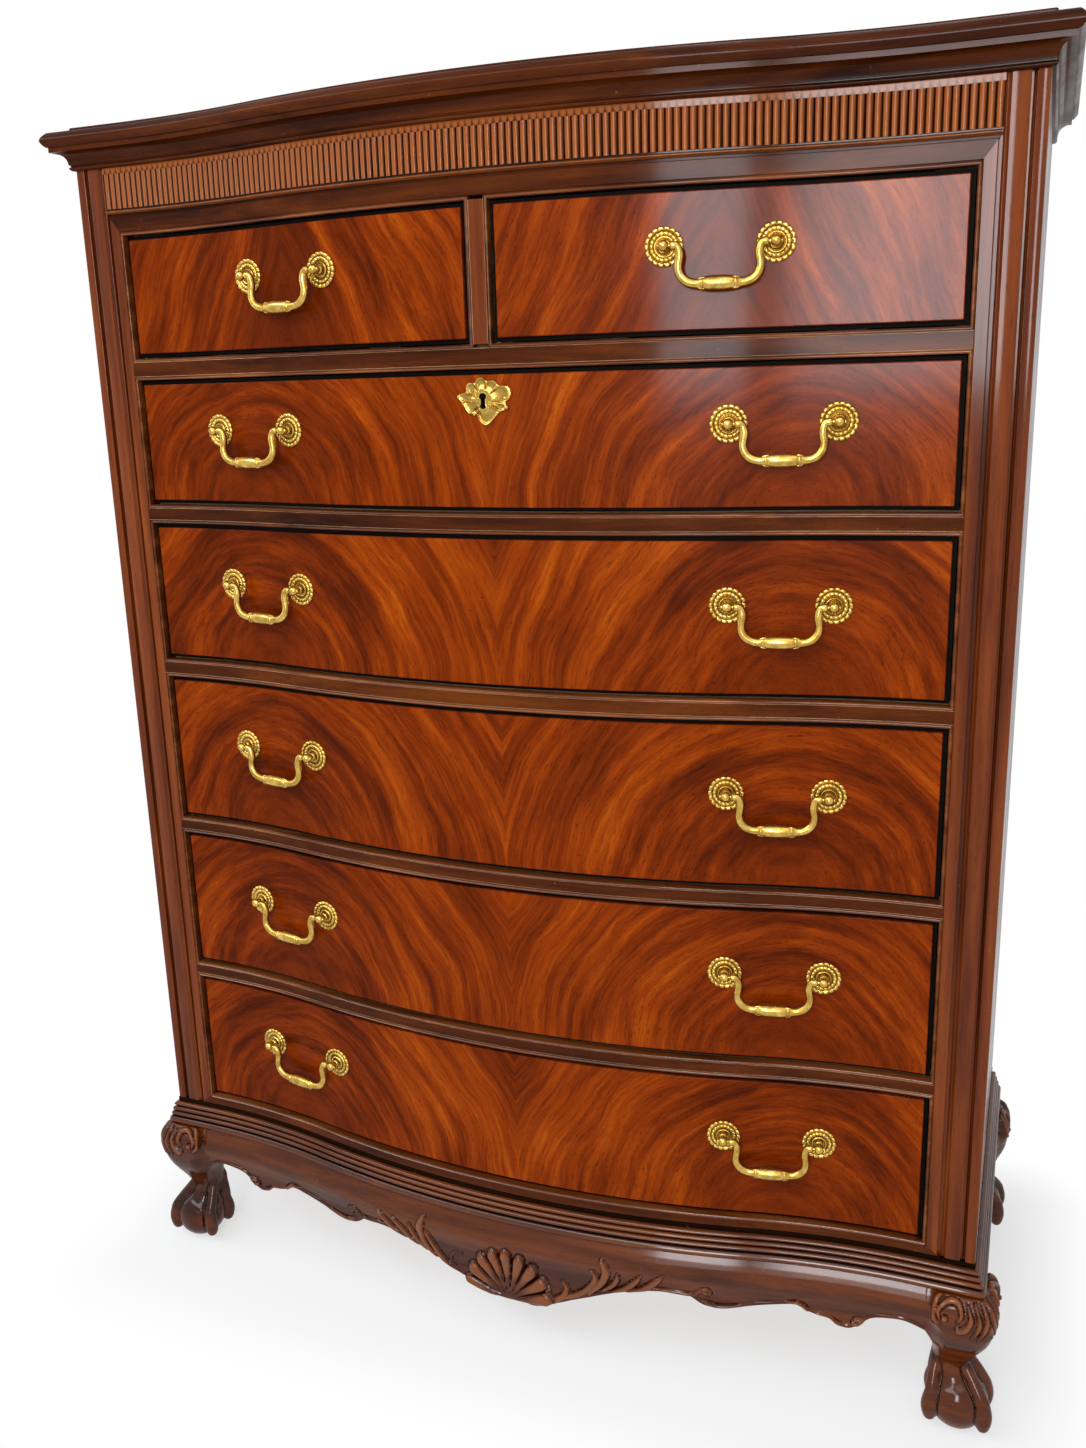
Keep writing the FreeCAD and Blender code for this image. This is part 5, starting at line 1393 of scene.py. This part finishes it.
def shell_relief(x, z):
    """Fan of round lobes that widen upwards from the shell's hinge, and the cuts by them."""
    dx, dz = (x - HINGE_X) / SHELL_HALF, (z - HINGE_Z) / SHELL_TALL
    reach, turn = np.hypot(dx, dz), np.arctan2(dx, np.maximum(dz, -0.2))
    spread = math.radians(88)
    place = (turn + spread) / (2 * spread) * LOBE_COUNT
    fan = (place > 0) & (place < LOBE_COUNT) & (dz > -0.02)
    across = np.abs((place % 1) * 2 - 1)
    rim = 1.0 - 0.15 * across ** 2
    round_top = np.clip((rim - reach) / 0.08, 0, 1)
    ridge = np.sqrt(np.clip(1 - (across / 0.94) ** 2, 0, 1))
    height = (1.4 + 5.2 * np.minimum(1, reach * 1.15)) * ridge ** 0.7
    relief = np.where(fan, height * np.sqrt(round_top) * np.minimum(1, reach * 4), 0)
    between = np.clip((across - 0.72) / 0.22, 0, 1) * (reach > 0.12) * (reach < rim)
    outline = np.clip(1 - np.abs(reach - rim - 0.02) / 0.03, 0, 1)
    return relief, np.where(fan, np.maximum(between, outline), 0)

# %% Apron scrolls and cushion
SCROLLS = [(2.2, [(216, 110, 2.0), (226, 106, 2.4), (240, 106.5, 2.2), (262, 112, 1.6)]),
           (2.4, [(302, 121, 1.6), (314, 122, 2.4), (322, 114, 2.4), (318, 110, 1.8)]),
           (2.4, [(330, 112, 1.6), (342, 109, 2.6), (352, 103, 2.4), (358, 101, 2.0)]),
           (2.8, [(370, 106, 2.4), (378, 104, 3.4), (379, 110, 2.8), (372, 111, 2.0)])]
CUSHION = {96: 6.5, 110: 7.5, 120: 9.0, 130: 11.6, 137: 13.4, 143: 14.2, 148: 13.8, 153: 12.2,
           160: 8.6, 168: 3.8}     # level and how far the face stands out there, in mm


def mirrored_strokes(strokes):
    return [(height, [(-x, z, radius) for x, z, radius in points]) for height, points in strokes]


def edge_line():
    """Lower edge from the middle to the leg, as (x, z) in mm, with cusps kept sharp."""
    half = (HALF_CASE - LEG_BLOCK) / MM
    tip = (FOOT_HEIGHT - APRON_DEPTH) / MM
    line = []
    for run in EDGE_RUNS:
        line += [(share * half, tip + rise) for share, rise in curve_points(run, 12)]
    return np.array(line)


def cushion(z):
    """How far the apron's rounded face stands out from the case, in mm."""
    return np.interp(z, list(CUSHION), list(CUSHION.values()))

# %% Apron relief
APRON_COLUMNS, APRON_ROWS = 560, 60
RIM_WIDTH, RIM_HEIGHT = 2.6, 2.0   # half width of the bead along the edge, in mm
SPRAY_BOLDNESS = 1.35


def apron_grid():
    """Points of the apron's face, column by column: x, z and rise above the edge, in mm."""
    half = (HALF_CASE - LEG_BLOCK) / MM
    line = edge_line()
    columns = np.linspace(-half, half, APRON_COLUMNS + 1)
    low = np.interp(np.abs(columns), line[:, 0], line[:, 1])
    shares = np.linspace(0, 1, APRON_ROWS + 1) ** 1.15
    x, share = np.meshgrid(columns, shares, indexing="ij")
    z = low[:, None] + (FOOT_HEIGHT / MM - low[:, None]) * share
    return x.ravel(), z.ravel(), z.ravel() - np.repeat(low, APRON_ROWS + 1)


def apron_relief(x, z, above):
    """How far each point of the face stands out in mm, and how it was carved (-1 to 1)."""
    rim = RIM_HEIGHT * np.sqrt(np.clip(1 - ((above - RIM_WIDTH) / RIM_WIDTH) ** 2, 0, 1))
    rim *= np.clip((np.abs(x) - 60) / 30, 0, 1)
    strokes = RIGHT_SPRAY + LEFT_SPRAY + SCROLLS + mirrored_strokes(SCROLLS + RIGHT_SPRAY[-2:])
    drawn, groove = stroke_relief(x, z, strokes, 1.5)
    drawn *= SPRAY_BOLDNESS
    shell, shell_cut = shell_relief(x, z)
    groove = np.maximum(np.where((rim > 0.2) | (shell > 0.6), 0, groove), shell_cut)
    relief = np.maximum(np.maximum(drawn, rim), shell)
    # The colour reads this as a painted highlight on the ridges and painted shade in the cuts.
    carving = np.clip(np.maximum(drawn / 3.4, shell / 5.5), 0, 1) * (groove == 0) - groove
    eased_edge = 1.5 * np.clip(1 - above / 2.5, 0, 1) ** 2
    return cushion(z) + relief - GROOVE_DEPTH * groove - eased_edge, carving

# %% Front apron
def make_apron():
    """A grid bent to the face, its top and lower edges extruded back and the ends closed."""
    x, z, above = apron_grid()
    out, carving = apron_relief(x, z, above)
    bm = bmesh.new()
    bmesh.ops.create_grid(bm, x_segments=APRON_COLUMNS, y_segments=APRON_ROWS, size=1)
    layer = bm.verts.layers.float.new("carving")
    ordered = sorted(bm.verts, key=lambda vert: (round(vert.co.x, 5), vert.co.y))
    for vert, across, level, reach, cut in zip(ordered, x, z, out, carving):
        vert.co = (across * MM, front_y(across * MM, reach * MM), level * MM)
        vert[layer] = cut
    chains = []
    for row in (0, APRON_ROWS):
        chain = ordered[row::APRON_ROWS + 1]
        edges = [bm.edges.get(pair) for pair in zip(chain, chain[1:])]
        grown = bmesh.ops.extrude_edge_only(bm, edges=edges)["geom"]
        for vert in grown:
            if isinstance(vert, bmesh.types.BMVert):
                vert.co.y = front_y(vert.co.x, -15 * MM)
        chains += [part for part in grown if isinstance(part, bmesh.types.BMEdge)]
    bmesh.ops.bridge_loops(bm, edges=chains)
    open_edges = [edge for edge in bm.edges if len(edge.link_faces) == 1]
    bmesh.ops.holes_fill(bm, edges=open_edges, sides=0)
    make_piece(bm, "carved_apron", "case", carved_wood, ["apron_front"], smooth=60)


make_apron()

# %% [markdown]
# ## Legs
# Each leg is one block of mahogany: a knee that swells past the case, a slim ankle, and a
# claw of four talons that grip a ball. The parts are built as closed shells that run into
# each other, then a voxel remesh joins them into one skin, as a carver's rasp would, and
# the knee's scroll and flutes are laid on as relief. Subdivided boxes could give a foot
# too, but four talons over a ball leave no clean way for the faces to run.

# %% Knee and ankle
BALL_RADIUS = 31.0
BALL_IN = 9.5                      # ball's axis in from the corner of the case, in mm
# height, inner side, outer side from the case corner in mm, and squareness
LEG_SECTIONS = [(168, -53, 13, 6), (161, -53, 19.8, 5.5), (153, -53, 23.1, 5),
                (142, -53, 24.1, 4.6), (130, -53, 23.6, 4.3), (121, -52, 21.8, 4.0),
                (117, -48.5, 20.5, 3.8), (112, -45, 18.8, 3.5), (104, -41.5, 15.0, 3.2),
                (96, -39.2, 10.6, 2.9), (88, -38, 6.4, 2.6), (80, -37.6, 3.0, 2.4),
                (73, -37.5, 1.2, 2.2), (66, -37, 1.4, 2.1), (58, -35, 3.5, 2.05), (50, -32, 7, 2)]
SHAFT_SIDES = 56


def section_ring(centre, half, squareness):
    """Ring between a circle (squareness 2) and a square with softened corners."""
    ring = []
    for i in range(SHAFT_SIDES):
        turn = 2 * math.pi * i / SHAFT_SIDES
        c, s = math.cos(turn), math.sin(turn)
        reach = (abs(c) ** squareness + abs(s) ** squareness) ** (-1 / squareness)
        ring.append((centre + half * reach * c, centre + half * reach * s))
    return ring


def make_shaft(bm):
    rings = []
    for z, inner, outer, squareness in curve_points(LEG_SECTIONS, 5):
        rings.append((z, section_ring((inner + outer) / 2, (outer - inner) / 2, squareness)))

    def level(z, ring):
        return lambda index, _: Vector((ring[round(index)][0], ring[round(index)][1], z)) * MM

    sweep(bm, [(i, 0) for i in range(SHAFT_SIDES)], [level(z, ring) for z, ring in rings])

# %% Talons
# reach from the ball's axis, height and radius, in mm
TALON = [(12.5, 86, 5.2), (15.5, 77, 5.9), (19, 68, 6.2), (24, 58, 6.6), (28.8, 47, 7.2),
         (31.8, 36, 8.0), (33, 28.5, 8.5), (32.8, 21.5, 8.2), (32, 15, 7.0), (31, 11.6, 5.2),
         (30.6, 9.8, 3.4)]
TALON_TURNS = [34, 146, 214, 326]  # degrees from the leg's side, two to the front, two behind


def lean(height):
    """How far the foot's axis lies towards the ankle at a height, in mm."""
    return -10 * max(0, min(1, (height - 42) / 34))


def talon_lines():
    """Centre line of each talon as points (x, y, z) in mm, with the radius at each."""
    found = []
    for turn in TALON_TURNS:
        angle = math.radians(turn)
        line = []
        for reach, height, radius in curve_points(TALON, 4):
            centre = lean(height) - BALL_IN
            line.append((centre + math.cos(angle) * reach, centre + math.sin(angle) * reach,
                         height, radius))
        found.append((angle, line))
    return found


def make_talons(bm):
    for angle, line in talon_lines():
        side = Vector((-math.sin(angle), math.cos(angle), 0))
        centres = [Vector(point[:3]) for point in line]
        stations = []
        for j, centre in enumerate(centres):
            run = centres[min(j + 1, len(line) - 1)] - centres[max(j - 1, 0)]
            stations.append(ring_station(centre * MM, run.normalized(), side, line[j][3] * MM))
        sweep(bm, circle(20), stations)

# %% Web between the talons
# height and distance of the skin between the talons from the ball's axis, in mm
WEB = [(28, 31.6), (36, 31.2), (42, 29.9), (47, 27.6), (53, 22.8), (60, 18.8), (68, 17.2), (76, 16.8),
       (86, 16.5)]
WEB_TOP, WEB_ARCH, WEB_FOOT = 86, 49, 28


def make_web(bm):
    """The foot between its talons: a bell from the ankle, cut to an arch over the ball."""
    heights, reaches = zip(*WEB)

    def level(share, shrink):
        def station(out, up):
            angle = math.degrees(math.atan2(up, out)) % 360
            gap = min(abs((angle - turn + 180) % 360 - 180) for turn in TALON_TURNS) / 45
            foot = WEB_FOOT + (WEB_ARCH - WEB_FOOT) * math.sin(math.pi / 2 * min(1, gap)) ** 0.8
            height = WEB_TOP + (foot - WEB_TOP) * share
            reach = float(np.interp(height, heights, reaches)) * shrink
            centre = lean(height) - BALL_IN
            return Vector((centre + out * reach, centre + up * reach, height)) * MM
        return station

    levels = [level(share, 1) for share in steps(0, 1, 16)]
    sweep(bm, circle(64), levels + [level(0.99, 0.8), level(0.97, 0.1)])

# %% [markdown]
# A carver sets the talons off from ball and web with a narrow cut, and draws a scroll and
# four flutes on each face of the knee. These come after the remesh, which would blur them:
# the points of the skin are moved along their normals. Each cut and ridge is also written
# into the "carving" layer, so that the colour can paint shade into the cuts and a highlight
# onto the ridges.

# %% Cuts beside the talons
CUT_MIDDLE, CUT_HALF, CUT_DEPTH, CUT_TOP = 1.7, 1.5, 1.5, 78           # in mm


def cut_beside_talons(co, normal):
    """Sink a narrow groove along both sides of each talon; gives its depth from 0 to 1."""
    axes = np.array([point for _, line in talon_lines() for point in line])
    low = np.nonzero(co[:, 2] < CUT_TOP)[0]
    away = np.full(len(co), 9.0)
    for x, y, z, radius in axes:
        off = np.sqrt(((co[low] - (x, y, z)) ** 2).sum(axis=1)) - radius
        away[low] = np.minimum(away[low], off)
    groove = np.clip(1 - np.abs(away - CUT_MIDDLE) / CUT_HALF, 0, 1)
    groove *= np.clip((CUT_TOP - co[:, 2]) / 8, 0, 1)
    co -= normal * (CUT_DEPTH * groove)[:, None]
    return groove

# %% Knee carving
# height in mm, then points (across the knee, z, half width) in mm
KNEE_STROKES = [(2.8, [(-24, 172, 1.6), (-33, 166, 2.4), (-37, 155, 2.6), (-36, 146, 2.2),
                       (-31, 141, 1.4)]),
                (4.0, [(-26, 148, 3.2), (-25.6, 148, 3.2)]),
                (3.2, [(-31, 147, 1.4), (-32, 156, 2.2), (-23, 164.5, 2.6), (-13, 163.5, 2.6),
                       (-9.5, 154, 2.2), (-13, 147, 1.2)]),
                (2.6, [(-4, 163, 1.4), (0, 152, 2.6), (-4, 141, 3.4), (-11, 136.5, 3.6),
                       (-13, 141, 1.6)]),
                (2.6, [(3, 166, 1.2), (8.2, 152, 2.0), (7, 142, 2.2), (1, 130, 1.0)]),
                (2.6, [(9.6, 167, 1.2), (14.8, 154, 2.0), (13.6, 143, 2.2), (7.6, 129, 1.0)]),
                (2.6, [(15.4, 167, 1.2), (20, 154, 1.9), (19, 144, 2.0), (13.6, 129.5, 1.0)]),
                (2.4, [(20.6, 165, 1.1), (24.2, 153, 1.7), (23.2, 143, 1.8), (18.6, 129.5, 0.9)])]


# levels, where across the knee the sinking ends, and over what width, in mm
SINK_LEVELS, SINK_STARTS, SINK_WIDTHS = [112, 128, 142, 168], [-47, -46, -41.5, -40], [24, 23, 6, 5]
FACES = ((1, 0), (0, 1))           # axis a face looks along, and the axis across it


def sink_beside_apron(co):
    """Lower the knee's two inner edges to the aprons' faces, steeply only at the scroll."""
    before = co.copy()
    for face, across in FACES:
        start = np.interp(before[:, 2], SINK_LEVELS, SINK_STARTS)
        width = np.interp(before[:, 2], SINK_LEVELS, SINK_WIDTHS)
        share = np.clip((before[:, across] - start) / width, 0, 1)
        share = share * share * (3 - 2 * share)
        level = cushion(before[:, 2]) - np.where(before[:, across] < -46.3, 0.8, 0)
        sunk = level + (before[:, face] - level) * share
        beside = (before[:, face] > level) & (before[:, 2] > 104)
        co[:, face] = np.where(beside, sunk, before[:, face])


def carve_knee(co, normal):
    """Lay the strokes on both outer faces; gives how each point was carved (-1 to 1)."""
    carving = np.zeros(len(co))
    ground = co.copy()
    for face, across in FACES:
        facing = np.clip((normal[:, face] - 0.25) / 0.3, 0, 1)
        facing *= np.where(normal[:, face] >= normal[:, across] - 1e-4, 1, 0)
        relief, groove = stroke_relief(ground[:, across], ground[:, 2], KNEE_STROKES)
        co += normal * ((relief - GROOVE_DEPTH * groove) * facing)[:, None]
        carving += (np.clip(relief / 2.6, 0, 1) - groove) * facing
    return carving

# %% One skin for a leg
def joined_leg():
    """Shaft, web, talons and ball, joined by a voxel remesh."""
    bm = bmesh.new()
    make_shaft(bm)
    make_web(bm)
    make_talons(bm)
    ball = Matrix.Translation(Vector((-BALL_IN, -BALL_IN, BALL_RADIUS - 1.2)) * MM)
    bmesh.ops.create_uvsphere(bm, u_segments=48, v_segments=32, radius=BALL_RADIUS * MM,
                              matrix=ball)
    bmesh.ops.recalc_face_normals(bm, faces=bm.faces)
    rough = bpy.data.meshes.new("leg_blank")
    bm.to_mesh(rough)
    bm.free()
    blank = bpy.data.objects.new("leg_blank", rough)
    bpy.context.scene.collection.objects.link(blank)
    remesh = blank.modifiers.new("rasp", "REMESH")
    remesh.mode, remesh.voxel_size = "VOXEL", 1.15 * MM
    evaluated = blank.evaluated_get(bpy.context.evaluated_depsgraph_get())
    joined = bpy.data.meshes.new_from_object(evaluated)
    bpy.data.objects.remove(blank)
    return joined


def move_points(bm, co):
    for vert, place in zip(bm.verts, co):
        vert.co = Vector(place) * MM

# %% Leg
def leg_mesh():
    """One leg about the case corner, its outer sides on +X and +Y."""
    bm = bmesh.new()
    bm.from_mesh(joined_leg())
    for _ in range(3):
        bmesh.ops.smooth_vert(bm, verts=bm.verts, factor=0.5, use_axis_x=True, use_axis_y=True,
                              use_axis_z=True)
    for vert in bm.verts:
        vert.co.z = min(max(vert.co.z, 0.3 * MM), FOOT_HEIGHT)
    co = np.array([vert.co for vert in bm.verts]) / MM
    sink_beside_apron(co)
    move_points(bm, co)
    bm.normal_update()
    normal = np.array([vert.normal for vert in bm.verts])
    carving = carve_knee(co, normal) - cut_beside_talons(co, normal)
    move_points(bm, co)
    layer = bm.verts.layers.float.new("carving")
    for vert, cut in zip(bm.verts, carving):
        vert[layer] = cut
    leg = bpy.data.meshes.new("leg")
    bm.to_mesh(leg)
    bm.free()
    print("one leg has", len(leg.polygons), "faces")
    return leg


def make_legs():
    leg = leg_mesh()
    reach = FACE_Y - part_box("foot_front_right")[0].y
    corner_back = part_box("foot_back_right")[1].y - reach
    for end, y, flip in (("front", FACE_Y, -1), ("back", corner_back, 1)):
        for name, side in (("left", -1), ("right", 1)):
            bm = bmesh.new()
            bm.from_mesh(leg)
            for vert in bm.verts:
                vert.co = (side * (HALF_CASE + vert.co.x), y + flip * vert.co.y, vert.co.z)
            make_piece(bm, "leg_%s_%s" % (end, name), "case", carved_wood,
                       ["foot_%s_%s" % (end, name)], smooth=70)


make_legs()

# %% [markdown]
# ## The pieces that keep their CAD shape
# Flat boards need no new mesh, only the right wood. Their grain runs along their length.

# %% Finishes on the frame's own pieces
def dress(nodes, material):
    for name in nodes:
        frame["nodes"][name].data.materials[0] = material


dress(["side_panel_left", "side_panel_right"], upright_wood)
dress(["drawer_rails", "drawer_divider", "case_top", "back_panel", "base_frame"], bare_level)
dress(["drawer_runners", "dust_panels", "drawer_stops"], bare_side)
dress([drawer + "_box" for drawer in DRAWERS], bare_side)
dress(["apron_sides"], upright_wood)
dress(["lock_case"], brass)
dress(["lock_bolt"], iron)
